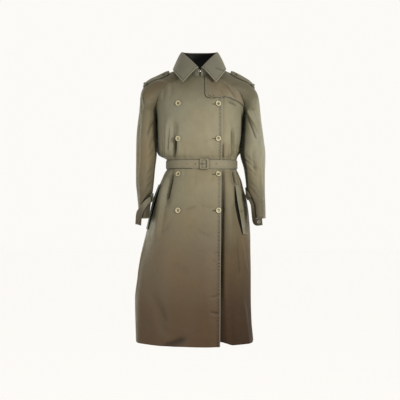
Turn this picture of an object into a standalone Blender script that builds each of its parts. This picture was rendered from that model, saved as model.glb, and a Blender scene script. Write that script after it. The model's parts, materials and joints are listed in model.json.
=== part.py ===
"""A belted, double-breasted trench coat in cotton gabardine, filled out as if worn, with nobody in it.

Metres, +Z up. The coat faces -Y, so +X is the wearer's left. The origin is where the wearer holds it up,
on the axis of the neck at the height of the shoulders.
"""

import math

import bmesh
import bpy
import numpy as np
from mathutils import Matrix, Vector

# Driving sizes
CLOTH = 0.0018  # one made-up layer: gabardine and what backs it
STRAP = 0.0022  # belts and straps are two layers and a stiffener
SEAM = 0.0004  # gap between two pieces that are sewn together
LAYER = 0.0009  # gap between a piece and the cloth that it lies on
HEM_Z = -1.095
ARMPIT_Z = -0.165
NECK_Z = -0.030  # the neckline at the centre of the front
FRONT_EDGE = 0.0885  # from the centre to the edge of the overlap
UNDERLAP_DEPTH = 0.0032  # from the face of the right front to the face of the left one under it
UNDERLAP_SHORTER = 0.012  # how much nearer the centre the hidden edge of the left front lies
HEM_RISE = 0.012  # how far the left front's hem rides up under the overlap
BUTTON_COLUMNS = {"right": -0.086, "left": 0.072}
BUTTON_ROWS_Z = (-0.146, -0.281, -0.422, -0.566)
BUTTON_DIAMETER = 0.0225
BELT_Z = -0.3815
BELT_WIDTH = 0.031
BUCKLE_WIDTH = 0.039
BUCKLE_HEIGHT = 0.043
CUFF_Z = -0.598
SLEEVE_GIRTH = 0.36
CUFF_STRAP_WIDTH = 0.026
CUFF_SLACK = 0.0024  # the loose strap stands off the sleeve
CARRIER_RISE = 0.0040  # from the face of the strap to the face of its carrier
WELT_WIDTH = 0.031
COLLAR_LEFT_REACH = 0.95  # the collar sits a little further out on the wearer's right
FLAP_LIFT = 0.0042  # from the coat's face to the flap's
FLAP_INSET = 0.006  # from the raglan seam to the flap's sewn edge
FLAP_FRONT_EDGE = 0.0215  # from the centre to the flap's free edge
FLAP_CORNER = 0.016  # radius of its free corner
BELT_LAP = 0.0006  # gap between the belt and its own lapped end
BUCKLE_X = 0.0165
BUCKLE_PLATE = 0.0040
PRONG_PLATE = 0.0018
LOOP_CLOTH = 0.0012  # carriers are folded from the thin cloth alone
MOUTH_CLOTH = 0.0009

KHAKI = (0.235, 0.208, 0.143)
COLLAR_KHAKI = (0.190, 0.165, 0.112)
DARK_LINING = (0.020, 0.019, 0.017)
HORN = (0.34, 0.30, 0.17)
STRAP_KHAKI = (0.250, 0.225, 0.155)
METAL = (0.55, 0.53, 0.47)

LEFT_SIDE = 1  # +X, the wearer's left
RIGHT_SIDE = -1
QUARTER = math.pi / 2


class Table:
    """Rows of sizes with named columns, read at any place on smooth curves that never overshoot the rows."""

    def __init__(self, columns, rows):
        self.columns = columns.split()
        self.rows = np.array(sorted(rows), float)

    def at(self, column, place):
        key = self.rows[:, 0]
        value = self.rows[:, self.columns.index(column)]
        place = np.clip(np.asarray(place, float), key[0], key[-1])
        step = np.diff(key)
        slope = np.diff(value) / step
        tangent = np.zeros(len(key))
        tangent[0], tangent[-1] = slope[0], slope[-1]
        same = slope[1:] * slope[:-1] > 0
        total = np.where(same, slope[1:] + slope[:-1], 1.0)
        tangent[1:-1] = np.where(same, 2 * slope[1:] * slope[:-1] / total, 0.0)
        low = np.clip(np.searchsorted(key, place, side="right") - 1, 0, len(step) - 1)
        t = (place - key[low]) / step[low]
        rise = step[low]
        return (
            value[low] * (1 + 2 * t) * (1 - t) ** 2
            + rise * tangent[low] * t * (1 - t) ** 2
            + value[low + 1] * t**2 * (3 - 2 * t)
            + rise * tangent[low + 1] * t**2 * (t - 1)
        )

    def point(self, place):
        return np.stack([self.at(axis, place) for axis in "xyz"], axis=-1)


# Level rings of the body. Each is named by its height at the centre front; above the armpit a ring tilts,
# high at the back and low at the front, up to the neckline.
RINGS = Table(
    "front_z side_z back_z right left front back power",
    (
        (-1.095, -1.095, -1.095, 0.262, 0.218, 0.203, 0.212, 2.15),
        (-0.930, -0.930, -0.930, 0.266, 0.204, 0.190, 0.200, 2.15),
        (-0.810, -0.810, -0.810, 0.249, 0.206, 0.178, 0.188, 2.15),
        (-0.690, -0.690, -0.690, 0.224, 0.206, 0.165, 0.176, 2.15),
        (-0.600, -0.600, -0.600, 0.206, 0.201, 0.154, 0.166, 2.15),
        (-0.530, -0.530, -0.530, 0.191, 0.192, 0.145, 0.156, 2.15),
        (-0.480, -0.480, -0.480, 0.173, 0.178, 0.136, 0.146, 2.15),
        (-0.445, -0.445, -0.445, 0.158, 0.169, 0.127, 0.135, 2.15),
        (-0.415, -0.415, -0.415, 0.145, 0.1565, 0.1150, 0.120, 2.15),
        (-0.400, -0.400, -0.400, 0.1365, 0.1505, 0.1095, 0.1125, 2.15),
        (-0.363, -0.363, -0.363, 0.1365, 0.1505, 0.1095, 0.1125, 2.15),
        (-0.345, -0.345, -0.345, 0.160, 0.154, 0.118, 0.121, 2.25),
        (-0.325, -0.325, -0.325, 0.171, 0.159, 0.124, 0.126, 2.3),
        (-0.280, -0.280, -0.280, 0.173, 0.167, 0.130, 0.127, 2.35),
        (-0.220, -0.220, -0.220, 0.174, 0.173, 0.134, 0.124, 2.4),
        (-0.165, -0.165, -0.165, 0.178, 0.180, 0.134, 0.119, 2.4),
        (-0.130, -0.085, -0.105, 0.190, 0.188, 0.128, 0.118, 2.4),
        (-0.105, -0.044, -0.062, 0.180, 0.178, 0.120, 0.115, 2.4),
        (-0.080, -0.018, -0.024, 0.146, 0.146, 0.110, 0.106, 2.3),
        (-0.052, 0.002, 0.008, 0.106, 0.106, 0.097, 0.090, 2.2),
        (-0.030, 0.016, 0.030, 0.072, 0.072, 0.082, 0.068, 2.1),
    ),
)

# The raglan seam runs from the armpit (0) to the neckline (1). "ring" is the body ring that it crosses there,
# and the angles are measured from the side, towards the centre front and the centre back.
RAGLAN = Table(
    "share ring front_angle back_angle",
    (
        (0.00, -0.165, 0, 0),
        (0.14, -0.152, 19, 19),
        (0.28, -0.136, 31, 32),
        (0.42, -0.119, 38, 41),
        (0.56, -0.101, 43, 47),
        (0.70, -0.081, 47, 51),
        (0.85, -0.056, 50, 54),
        (1.00, -0.030, 52, 56),
    ),
)

# The top of each shoulder, from the outer arm at armpit height (0) to the neckline (1).
RIDGE = {
    LEFT_SIDE: Table(
        "share x y z",
        (
            (0.00, 0.2470, 0.000, -0.165),
            (0.14, 0.2425, 0.000, -0.128),
            (0.28, 0.2350, 0.001, -0.097),
            (0.42, 0.2225, 0.002, -0.071),
            (0.56, 0.2010, 0.003, -0.046),
            (0.70, 0.1660, 0.004, -0.024),
            (0.85, 0.1180, 0.003, 0.001),
            (1.00, 0.0720, 0.000, 0.016),
        ),
    ),
    RIGHT_SIDE: Table(
        "share x y z",
        (
            (0.00, -0.2490, 0.000, -0.165),
            (0.14, -0.2450, 0.000, -0.128),
            (0.28, -0.2415, 0.001, -0.095),
            (0.42, -0.2320, 0.002, -0.066),
            (0.56, -0.2060, 0.003, -0.041),
            (0.70, -0.1660, 0.004, -0.022),
            (0.85, -0.1180, 0.003, 0.002),
            (1.00, -0.0720, 0.000, 0.016),
        ),
    ),
}

# How a sleeve leaves the seam and crosses the shoulder: the heading of the cloth at the seam (degrees back
# from straight out), its rise, and how far it keeps that heading; then how far it runs level over the top.
SADDLE = Table(
    "share heading rise leave over drop",
    (
        (0.00, -90, 0.00, 0.093, 0.093, 0.00),
        (0.14, -62, 0.10, 0.082, 0.090, 0.00),
        (0.28, -18, 0.22, 0.066, 0.080, 0.02),
        (0.42, 10, 0.34, 0.054, 0.071, 0.06),
        (0.56, 25, 0.44, 0.045, 0.060, 0.12),
        (0.70, 32, 0.46, 0.036, 0.047, 0.18),
        (0.85, 36, 0.42, 0.028, 0.034, 0.22),
        (1.00, 38, 0.30, 0.020, 0.022, 0.22),
    ),
)

# Each sleeve below the armpit.
SLEEVES = {
    LEFT_SIDE: Table(
        "z inner outer y front back",
        (
            (-0.598, 0.2080, 0.2620, -0.086, 0.056, 0.052),
            (-0.550, 0.2060, 0.2625, -0.070, 0.058, 0.054),
            (-0.500, 0.1895, 0.2620, -0.052, 0.061, 0.057),
            (-0.450, 0.1855, 0.2630, -0.036, 0.065, 0.061),
            (-0.400, 0.1790, 0.2640, -0.024, 0.068, 0.065),
            (-0.335, 0.1640, 0.2645, -0.014, 0.072, 0.070),
            (-0.280, 0.1715, 0.2590, -0.008, 0.073, 0.070),
            (-0.220, 0.1790, 0.2520, -0.003, 0.071, 0.069),
            (-0.165, 0.1810, 0.2470, 0.000, 0.070, 0.070),
        ),
    ),
    RIGHT_SIDE: Table(
        "z inner outer y front back",
        (
            (-0.598, -0.2030, -0.2440, -0.086, 0.056, 0.052),
            (-0.550, -0.1990, -0.2480, -0.070, 0.058, 0.054),
            (-0.500, -0.1920, -0.2540, -0.052, 0.061, 0.057),
            (-0.450, -0.1870, -0.2590, -0.036, 0.065, 0.061),
            (-0.400, -0.1830, -0.2600, -0.024, 0.068, 0.065),
            (-0.335, -0.1765, -0.2600, -0.014, 0.072, 0.070),
            (-0.280, -0.1790, -0.2590, -0.008, 0.073, 0.070),
            (-0.220, -0.1795, -0.2545, -0.003, 0.071, 0.069),
            (-0.165, -0.1790, -0.2490, 0.000, 0.070, 0.070),
        ),
    ),
}

# The largest folds of the body: top_z, bottom_z, top_x, bottom_x, depth, width. A fold runs down from one
# distance from the centre to another; depth is out (+) or in (-), width is half the fold's width.
FRONT_FOLDS = (
    (-0.190, -0.368, -0.107, -0.108, -0.0120, 0.016),  # gathered into the belt, wearer's right
    (-0.180, -0.368, -0.130, -0.134, 0.0080, 0.016),
    (-0.190, -0.368, 0.113, 0.116, 0.0070, 0.015),  # and wearer's left
    (-0.230, -0.368, 0.132, 0.131, -0.0120, 0.016),
    (-0.396, -0.560, -0.108, -0.140, -0.0120, 0.018),  # falling from the belt, wearer's right
    (-0.396, -0.700, -0.134, -0.180, 0.0100, 0.022),
    (-0.396, -0.468, 0.131, 0.138, -0.0110, 0.017),  # and wearer's left
    (-0.396, -0.760, 0.112, 0.125, 0.0080, 0.020),
    (-0.640, -1.500, -0.075, -0.060, -0.0090, 0.036),  # the skirt's slow waves
    (-0.560, -1.500, -0.225, -0.250, 0.0090, 0.042),
    (-0.600, -1.500, 0.140, 0.160, -0.0110, 0.032),
    (-0.520, -1.500, 0.190, 0.205, 0.0080, 0.034),
)
BACK_FOLDS = (
    (-0.240, -0.368, -0.145, -0.128, -0.0100, 0.018),  # gathered into the belt
    (-0.230, -0.368, -0.098, -0.088, -0.0110, 0.018),
    (-0.220, -0.368, -0.030, -0.028, 0.0070, 0.019),
    (-0.240, -0.368, 0.048, 0.045, -0.0110, 0.018),
    (-0.250, -0.368, 0.118, 0.112, -0.0100, 0.018),
    (-0.396, -0.800, -0.118, -0.190, -0.0110, 0.020),  # falling from it
    (-0.396, -1.500, -0.090, -0.165, 0.0120, 0.033),
    (-0.396, -1.500, -0.045, -0.085, -0.0130, 0.031),
    (-0.396, -1.500, 0.012, 0.030, 0.0120, 0.034),
    (-0.396, -1.500, 0.065, 0.115, -0.0130, 0.029),
    (-0.396, -1.500, 0.118, 0.180, 0.0110, 0.031),
    (-0.396, -0.800, 0.140, 0.190, -0.0080, 0.017),
)

# The largest folds of the sleeves: from one place to another, each a height and a share of the way round
# (0 at the body, 0.25 at the front, 0.5 outside, 0.75 at the back).
SLEEVE_FOLDS = {
    LEFT_SIDE: (
        (-0.150, -0.300, 0.30, 0.44, 0.0035, 0.014),
        (-0.330, -0.420, 0.10, 0.30, -0.0040, 0.014),
        (-0.200, -0.330, 0.90, 0.70, -0.0040, 0.014),
        (-0.380, -0.480, 0.84, 0.62, -0.0040, 0.014),
        (-0.470, -0.540, 0.12, 0.32, -0.0040, 0.012),
    ),
    RIGHT_SIDE: (
        (-0.190, -0.290, 0.08, 0.24, -0.0040, 0.014),
        (-0.420, -0.500, 0.08, 0.30, -0.0035, 0.013),
        (-0.500, -0.548, 0.06, 0.36, -0.0060, 0.012),
        (-0.200, -0.330, 0.92, 0.70, -0.0040, 0.014),
        (-0.400, -0.500, 0.84, 0.62, -0.0045, 0.014),
    ),
}


def smooth(t):
    t = np.clip(t, 0.0, 1.0)
    return t * t * (3 - 2 * t)


def unit(v):
    return v / np.maximum(np.linalg.norm(v, axis=-1, keepdims=True), 1e-9)


def lifted(surface, u, v, lift, swap=1.0):
    """Points of a surface moved off it along its normal."""
    step_u = 0.002
    step_v = 0.004
    along = surface(u + step_u, v) - surface(u - step_u, v)
    round_it = surface(u, v + step_v) - surface(u, v - step_v)
    normal = unit(np.cross(along, round_it)) * swap
    return surface(u, v) + normal * np.asarray(lift)[..., None]


# The body


def bare_body(ring, angle):
    ring, angle = np.broadcast_arrays(np.asarray(ring, float), np.asarray(angle, float))
    cosine, sine = np.cos(angle), np.sin(angle)
    power = RINGS.at("power", ring)
    across = np.sign(cosine) * np.abs(cosine) ** (2 / power)
    deep = np.sign(sine) * np.abs(sine) ** (2 / power)
    wide = np.where(cosine > 0, RINGS.at("left", ring), RINGS.at("right", ring))
    reach = np.where(sine > 0, RINGS.at("front", ring), RINGS.at("back", ring))
    side = RINGS.at("side_z", ring)
    end = np.where(sine > 0, ring, RINGS.at("back_z", ring))
    return np.stack([wide * across, -reach * deep, side + (end - side) * sine**2], axis=-1)


def fold_height(folds, down, turn, line, girth):
    """How far a set of folds moves the cloth out, at a height and a share of the way round body or sleeve.

    line turns a fold's place across into a share of the way round, at each height.
    """
    total = np.zeros(np.broadcast(down, turn).shape)
    for top, bottom, start, end, depth, width in folds:
        t = (top - down) / (top - bottom)
        away = turn - line(start + (end - start) * np.clip(t, 0, 1), down)
        away = (away + 0.5) % 1.0 - 0.5
        across = np.exp(-((away * girth / width) ** 2))
        total = total + depth * across * smooth(t / 0.3) * smooth((1 - t) / 0.22)
    return total


def body(ring, angle, lift=0.0):
    ring = np.asarray(ring, float)
    angle = np.asarray(angle, float)
    girth = math.pi * (RINGS.at("right", ring) + RINGS.at("front", ring))
    turn = angle / (2 * math.pi)
    folds = fold_height(FRONT_FOLDS, ring, turn, lambda x, z: angle_of(x, z) / (2 * math.pi), girth)
    folds = folds + fold_height(BACK_FOLDS, ring, turn, lambda x, z: -angle_of(x, z) / (2 * math.pi), girth)
    return lifted(bare_body, ring, angle, folds + lift)


def angle_of(x, ring):
    """The angle at which a front ring reaches a distance from the centre."""
    wide = np.where(x > 0, RINGS.at("left", ring), RINGS.at("right", ring))
    share = np.clip(np.abs(x) / wide, 0, 1) ** (RINGS.at("power", ring) / 2)
    return np.arccos(np.sign(x) * share)


def seam_angle(ring, which):
    """The angle from the side at which the raglan seam crosses a ring, or 0 below the armpit."""
    by_ring = Table("ring angle", [(row[1], row[which]) for row in RAGLAN.rows])
    return np.radians(np.where(ring > ARMPIT_Z, by_ring.at("angle", ring), 0.0))


FRONT_ANGLE, BACK_ANGLE = 2, 3


def seam_gap(ring):
    """Half of a seam's gap, as an angle."""
    return SEAM / 2 / np.minimum(RINGS.at("front", ring), RINGS.at("left", ring))


def ring_rows(skirt, chest, yoke):
    """Ring heights from the hem to the neckline, closest together at the belt and over the shoulders."""
    waist = (-0.445, -0.426, -0.411, -0.400, -0.3815, -0.363, -0.350)
    blouse = -0.335
    return np.concatenate(
        [
            np.linspace(HEM_Z, waist[0], skirt + 1)[:-1],
            waist,
            np.linspace(blouse, ARMPIT_Z, chest + 1)[:-1],
            RAGLAN.at("ring", np.linspace(0, 1, yoke + 1)),
        ]
    )


def front_edge(ring):
    """From the centre to the edge of the right front, which slants in under the collar."""
    edge = Table(
        "ring x",
        (
            (HEM_Z, 0.078),
            (-0.400, 0.0860),
            (-0.300, FRONT_EDGE),
            (-0.130, FRONT_EDGE),
            (-0.100, 0.078),
            (-0.075, 0.062),
            (-0.052, 0.046),
            (NECK_Z, 0.032),
        ),
    )
    return edge.at("x", ring)


def spread(start, end, count):
    """Rows of evenly spaced values between two columns of ends."""
    share = np.linspace(0, 1, count)
    return start[:, None] * (1 - share) + end[:, None] * share


# How far back the left front lies where the right one covers it, and how far beyond the edge that begins.
UNDERLAP = Table(
    "ring depth reach",
    (
        (HEM_Z, 0.0240, 0.066),
        (-0.900, 0.0170, 0.050),
        (-0.640, 0.0090, 0.030),
        (-0.440, UNDERLAP_DEPTH, 0.0115),
        (NECK_Z, UNDERLAP_DEPTH, 0.0115),
    ),
)


# The sleeves


def bezier(p0, p1, p2, p3, t):
    t = t[..., None]
    return p0 * (1 - t) ** 3 + 3 * p1 * t * (1 - t) ** 2 + 3 * p2 * t**2 * (1 - t) + p3 * t**3


def bare_sleeve(side, along, turn):
    """A raglan sleeve: along runs from the cuff (-1) by the armpit (0) to the neckline (1)."""
    along, turn = np.broadcast_arrays(np.asarray(along, float), np.asarray(turn, float))
    half_oval = 4 / 3

    # Below the armpit: a slim oval tube.
    z = ARMPIT_Z + (ARMPIT_Z - CUFF_Z) * np.minimum(along, 0)
    tube = SLEEVES[side]
    y = tube.at("y", z)
    inner = np.stack([tube.at("inner", z), y, z], -1)
    outer = np.stack([tube.at("outer", z), y, z], -1)
    level = np.zeros_like(z)
    to_front = np.stack([level, -half_oval * tube.at("front", z), level], -1)
    to_back = np.stack([level, half_oval * tube.at("back", z), level], -1)

    # Above it: an arch from the front seam over the shoulder to the back seam.
    share = np.clip(along, 0, 1)
    ring = RAGLAN.at("ring", share)
    gap = seam_gap(ring) * smooth(share / 0.05)
    front_turn = np.radians(RAGLAN.at("front_angle", share)) - gap
    back_turn = np.radians(RAGLAN.at("back_angle", share)) - gap
    if side == LEFT_SIDE:
        angles = front_turn, -back_turn
    else:
        angles = math.pi - front_turn, math.pi + back_turn
    clear = 0.0010 * (1 - smooth(share / 0.14))
    front_end, back_end = (body(ring, angle, clear) for angle in angles)
    top = RIDGE[side].point(share)
    heading = np.radians(SADDLE.at("heading", share))
    out = np.stack([side * np.cos(heading), np.sin(heading), SADDLE.at("rise", share)], -1)
    leave = SADDLE.at("leave", share)[..., None]
    over = SADDLE.at("over", share)[..., None]
    ahead = np.stack([0 * share, -1 + 0 * share, -SADDLE.at("drop", share)], -1)
    mirror = np.array([1.0, -1.0, 1.0])

    arch = (along > 0)[..., None]
    start = np.where(arch, front_end, inner)
    end = np.where(arch, back_end, inner)
    crown = np.where(arch, top, outer)
    ends_front = np.where(arch, out * leave, to_front)
    ends_back = np.where(arch, out * mirror * leave, to_back)
    crown_front = np.where(arch, ahead * over, to_front)
    crown_back = np.where(arch, ahead * mirror * over, to_back)
    first = bezier(start, start + ends_front, crown + crown_front, crown, np.clip(turn * 2, 0, 1))
    second = bezier(crown, crown + crown_back, end + ends_back, end, np.clip(turn * 2 - 1, 0, 1))
    swept = np.where((turn < 0.5)[..., None], first, second)
    # Towards the neckline it settles on the body's own rings, so that the collar stand meets one even edge.
    on_ring = bare_body(ring, angles[0] + side * (-front_turn - back_turn) * turn)
    settle = smooth((share - 0.70) / 0.30)[..., None]
    return swept * (1 - settle) + on_ring * settle


def sleeve(side, along, turn, lift=0.0, creased=True):
    along = np.asarray(along, float)
    turn = np.asarray(turn, float)
    z = ARMPIT_Z + (ARMPIT_Z - CUFF_Z) * along
    folds = fold_height(SLEEVE_FOLDS[side], z, turn, lambda place, down: place, SLEEVE_GIRTH)
    folds = folds * (along < 0) * creased

    def surface(u, v):
        # Round the tube the start and the end are one place; over the shoulder they are the two seams.
        wrapped = np.where(u < 0, v % 1.0, np.clip(v, 0, 1))
        return bare_sleeve(side, np.clip(u, -1, 1), wrapped)

    return lifted(surface, along, turn, folds + lift, swap=-side)


# Making objects


def material(name, colour, roughness, metallic=0.0):
    made = bpy.data.materials.new(name)
    made.use_nodes = True
    shader = made.node_tree.nodes["Principled BSDF"]
    shader.inputs["Base Color"].default_value = (*colour, 1.0)
    shader.inputs["Roughness"].default_value = roughness
    shader.inputs["Metallic"].default_value = metallic
    made.diffuse_color = (*colour, 1.0)
    return made


def clear_scene():
    for thing in list(bpy.data.objects):
        bpy.data.objects.remove(thing, do_unlink=True)


def add_object(name, mesh, finish, shelf):
    made = bpy.data.objects.new(name, mesh)
    shelf.objects.link(made)
    if not mesh.materials:
        mesh.materials.append(finish)
    return made


def sheet(name, points, finish, shelf, thickness=CLOTH, flip=False):
    """A wall of cloth: an open sheet of faces through a grid of points, with Solidify behind its face.

    The face is where rows crossed with columns point, or the other side with flip.
    """
    rows, columns = points.shape[:2]
    mesh = bpy.data.meshes.new(name)
    faces = []
    for row in range(rows - 1):
        for column in range(columns - 1):
            a = row * columns + column
            corners = (a, a + columns, a + columns + 1, a + 1)
            faces.append(corners[::-1] if flip else corners)
    mesh.from_pydata(points.reshape(-1, 3).tolist(), [], faces)
    shaped = bmesh.new()
    shaped.from_mesh(mesh)
    bmesh.ops.remove_doubles(shaped, verts=shaped.verts, dist=1e-6)
    shaped.to_mesh(mesh)
    shaped.free()
    mesh.shade_smooth()
    made = add_object(name, mesh, finish, shelf)
    wall = made.modifiers.new("Wall", "SOLIDIFY")
    wall.thickness = thickness
    wall.offset = -1
    return made


# The pieces


def make_body_panels(shelf, finish):
    rings = ring_rows(skirt=9, chest=3, yoke=8)
    gap = seam_gap(rings)
    raglan = seam_angle(rings, FRONT_ANGLE)
    edge = front_edge(rings)

    angles = spread(angle_of(edge, rings), math.pi - raglan - gap, 23)
    sheet("front_right", body(rings[:, None], angles), finish, shelf)

    # The left front dips under the edge of the right one and runs on beneath it. Down the skirt it hangs
    # further back there, and its hem rides up a little.
    depth = UNDERLAP.at("depth", rings)
    reach = UNDERLAP.at("reach", rings)
    angles = np.concatenate(
        [
            spread(raglan + gap, angle_of(edge + reach + 0.002, rings), 8)[:, :-1],
            spread(angle_of(edge + reach + 0.002, rings), angle_of(edge + 0.002, rings), 5)[:, :-1],
            spread(angle_of(edge + 0.002, rings), angle_of(UNDERLAP_SHORTER - edge, rings), 9),
        ],
        axis=1,
    )
    x = bare_body(rings[:, None], angles)[..., 0]
    under = smooth((edge[:, None] + reach[:, None] + 0.002 - x) / reach[:, None])
    points = body(rings[:, None], angles, -depth[:, None] * under)
    points[..., 2] += HEM_RISE * under * smooth((-0.8 - rings) / 0.29)[:, None]
    sheet("front_left", points, finish, shelf)

    raglan = seam_angle(rings, BACK_ANGLE)
    angles = spread(math.pi + raglan + gap, 2 * math.pi - raglan - gap, 24)
    sheet("back", body(rings[:, None], angles), finish, shelf)


def make_sleeves(shelf, finish):
    along = np.concatenate([np.linspace(-1, 0, 14)[:-1], np.linspace(0, 1, 9)])
    turn = np.linspace(0, 1, 17)
    for side, name in ((LEFT_SIDE, "sleeve_left"), (RIGHT_SIDE, "sleeve_right")):
        points = sleeve(side, along[:, None], turn[None, :])
        # Below the armpit the two edges of the sleeve are one seam.
        points[along <= 0, -1] = points[along <= 0, 0]
        sheet(name, points, finish, shelf, flip=side == LEFT_SIDE)


# The collar is worked out on one half, from the front (0) to the centre back (1).
FOLD_LINE = Table(
    "share x y z",
    (
        (0.00, 0.006, -0.0890, 0.008),
        (0.15, 0.024, -0.0820, 0.027),
        (0.30, 0.044, -0.0660, 0.047),
        (0.45, 0.064, -0.0380, 0.068),
        (0.60, 0.0755, 0.0000, 0.083),
        (0.75, 0.0670, 0.0390, 0.088),
        (0.88, 0.0370, 0.0630, 0.090),
        (1.00, 0.0000, 0.0700, 0.091),
    ),
)
COLLAR_EDGE = Table(
    "share x y z",
    (
        (0.00, 0.0670, -0.1180, -0.057),
        (0.15, 0.0840, -0.1020, -0.038),
        (0.30, 0.0975, -0.0790, -0.019),
        (0.45, 0.1075, -0.0480, -0.003),
        (0.60, 0.1120, -0.0080, 0.009),
        (0.75, 0.1000, 0.0480, 0.010),
        (0.88, 0.0580, 0.0880, 0.006),
        (1.00, 0.0000, 0.1020, 0.004),
    ),
)
STAND_TURN = Table("share degrees", ((0.00, 0), (0.60, 90), (1.00, 180)))


def both_halves(share):
    """Shares from one front edge by the centre back to the other, and the side that each is on."""
    half = 1 - np.abs(1 - 2 * share)
    side = np.where(share <= 0.5, -1.0, COLLAR_LEFT_REACH)
    return half, np.stack([side, np.ones_like(side), np.ones_like(side)], -1)


def collar_roll(share):
    """The inner edge of the fall, just inside the fold line, where the stand ends."""
    half, mirror = both_halves(share)
    fold = FOLD_LINE.point(half)
    inward = unit(fold * np.array([1, 1, 0])) * 0.0035
    return (fold - inward - np.array([0, 0, 0.003])) * mirror


def collar_fall(share, down):
    half, mirror = both_halves(share)
    fold = FOLD_LINE.point(half) * mirror
    edge = COLLAR_EDGE.point(half) * mirror
    outward = unit(fold * np.array([1, 1, 0]))
    up = np.array([0, 0, 1.0])
    crest = fold + outward * 0.003 + up * 0.007
    belly = edge + (fold - edge) * 0.5 + outward * 0.010
    return bezier(collar_roll(share), crest, belly, edge, down)


def make_collar(shelf, finish):
    share = np.linspace(0, 1, 29)
    down = np.array([0, 0.14, 0.30, 0.50, 0.75, 1.0])
    grid = collar_fall(share[:, None], down[None, :])
    sheet("collar_fall", grid, finish, shelf)

    half, mirror = both_halves(share)
    turn = np.radians(STAND_TURN.at("degrees", np.maximum(half, 0.012)))
    neckline = bare_body(NECK_Z, QUARTER - turn) * np.sign(mirror)
    neckline[:, 2] += SEAM
    top = collar_roll(np.clip(share, 0.004, 0.996)) - np.array([0, 0, 0.0022])
    rise = np.array([0, 0.35, 0.7, 1.0])[None, :, None]
    bow = unit(neckline * np.array([1, 1, 0]))[:, None] * 0.004 * np.sin(math.pi * rise)
    grid = neckline[:, None] * (1 - rise) + top[:, None] * rise + bow
    sheet("collar_stand", grid, finish, shelf, flip=True)


def make_throat_hook(shelf, finish):
    ring_radius, wire_radius = 0.0040, 0.0009
    bpy.ops.mesh.primitive_torus_add(
        major_radius=ring_radius, minor_radius=wire_radius, major_segments=14, minor_segments=6
    )
    hook = bpy.context.active_object
    hook.name = "throat_hook"
    hook.data.materials.append(finish)
    hook.location = (-0.0015, -0.0925, -0.010)
    hook.rotation_euler = (QUARTER, 0, 0)
    for holder in hook.users_collection:
        holder.objects.unlink(hook)
    shelf.objects.link(hook)


def make_storm_flap(shelf, finish):
    """The gun flap: it hangs from the wearer's left shoulder over the chest, free at two edges."""
    foot = Table("x ring", ((0.02, -0.1205), (0.09, -0.1250), (0.13, -0.1400), (0.18, -0.1560)))
    free_edge = 0.09  # about the length of the free front edge
    columns = 13
    down = np.linspace(0, 1, 10)
    grid = np.zeros((len(down), columns, 3))
    for row, t in enumerate(down):
        for column in range(columns):
            share = column / (columns - 1)
            low = foot.at("ring", 0.02 + 0.16 * share)
            ring = NECK_Z - 0.002 + (low - NECK_Z + 0.002) * t
            rounding = max(0.0, 1 - (1 - t) * free_edge / FLAP_CORNER)
            start = angle_of(FLAP_FRONT_EDGE + FLAP_CORNER * (1 - math.sqrt(1 - rounding**2)), ring)
            end = seam_angle(ring, FRONT_ANGLE) + FLAP_INSET / RINGS.at("front", ring)
            grid[row, column] = body(ring, start + (end - start) * share, FLAP_LIFT)
    sheet("storm_flap", grid, finish, shelf)


def belt_line(angle, rise, lift):
    """A place on the waist, where the belt lies."""
    angle, rise, lift = np.broadcast_arrays(angle, rise, lift)
    spot = body(np.full(angle.shape, BELT_Z), angle, lift)
    spot[..., 2] = BELT_Z + rise
    return spot


def make_belt(shelf, finish):
    """One strap: from the buckle round the back, then through the buckle and on over its own start."""
    start = angle_of(np.array(-0.033), BELT_Z)
    end = angle_of(np.array(0.146), BELT_Z) - 2 * math.pi
    angle = np.linspace(start, end, 72)
    lap = smooth((start + 0.42 - (angle + 2 * math.pi)) / 0.36)
    lift = LAYER + STRAP + lap * (STRAP + BELT_LAP)
    drop = 0.0022 * (1 - lap) * smooth((angle - 0.2) / 0.5)
    rise = np.linspace(-0.5, 0.5, 3) * BELT_WIDTH
    grid = belt_line(angle[:, None], rise[None, :] - drop[:, None], lift[:, None])
    sheet("belt", grid, finish, shelf, STRAP)


def rounded_rectangle(width, height, radius, steps=4):
    """The corners of a rectangle with rounded ends, anticlockwise."""
    points = []
    for index, (sx, sy) in enumerate(((1, 1), (-1, 1), (-1, -1), (1, -1))):
        for step in range(steps + 1):
            turn = QUARTER * (index + step / steps)
            x = sx * (width / 2 - radius) + radius * math.cos(turn)
            points.append((x, sy * (height / 2 - radius) + radius * math.sin(turn)))
    return points


def flat_plate(name, outlines, thickness, finish, shelf, place):
    """A flat outline, or one with a hole in it, filled and given its thickness."""
    curve = bpy.data.curves.new(name, "CURVE")
    curve.dimensions = "2D"
    curve.fill_mode = "BOTH"
    curve.extrude = thickness / 2
    for outline in outlines:
        line = curve.splines.new("POLY")
        line.points.add(len(outline) - 1)
        for spot, (x, y) in zip(line.points, outline):
            spot.co = (x, y, 0, 1)
        line.use_cyclic_u = True
    curve.materials.append(finish)
    made = bpy.data.objects.new(name, curve)
    made.matrix_world = place
    shelf.objects.link(made)
    return made


def make_buckle(shelf, finish, prong_finish):
    """A covered frame, its middle open over the belt, and the prong across it."""
    angle = angle_of(np.array(BUCKLE_X), BELT_Z)
    over_belt = LAYER + 2 * STRAP + BELT_LAP + 0.0030
    spot = Vector(belt_line(np.array([angle]), 0.0, over_belt)[0])
    place = Matrix.Translation(spot) @ Matrix.Rotation(QUARTER, 4, "X") @ Matrix.Rotation(0.035, 4, "Y")
    outline = rounded_rectangle(BUCKLE_WIDTH, BUCKLE_HEIGHT, 0.006)
    hole = [(x - 0.001, y) for x, y in rounded_rectangle(0.019, 0.031, 0.003, steps=2)]
    flat_plate("buckle_frame", (outline, hole), BUCKLE_PLATE, finish, shelf, place)
    prong = rounded_rectangle(0.020, 0.0026, 0.0012, steps=2)
    prong_place = place @ Matrix.Translation((-0.006, 0, 0.0032))
    flat_plate("buckle_prong", (prong,), PRONG_PLATE, prong_finish, shelf, prong_place)


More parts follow.
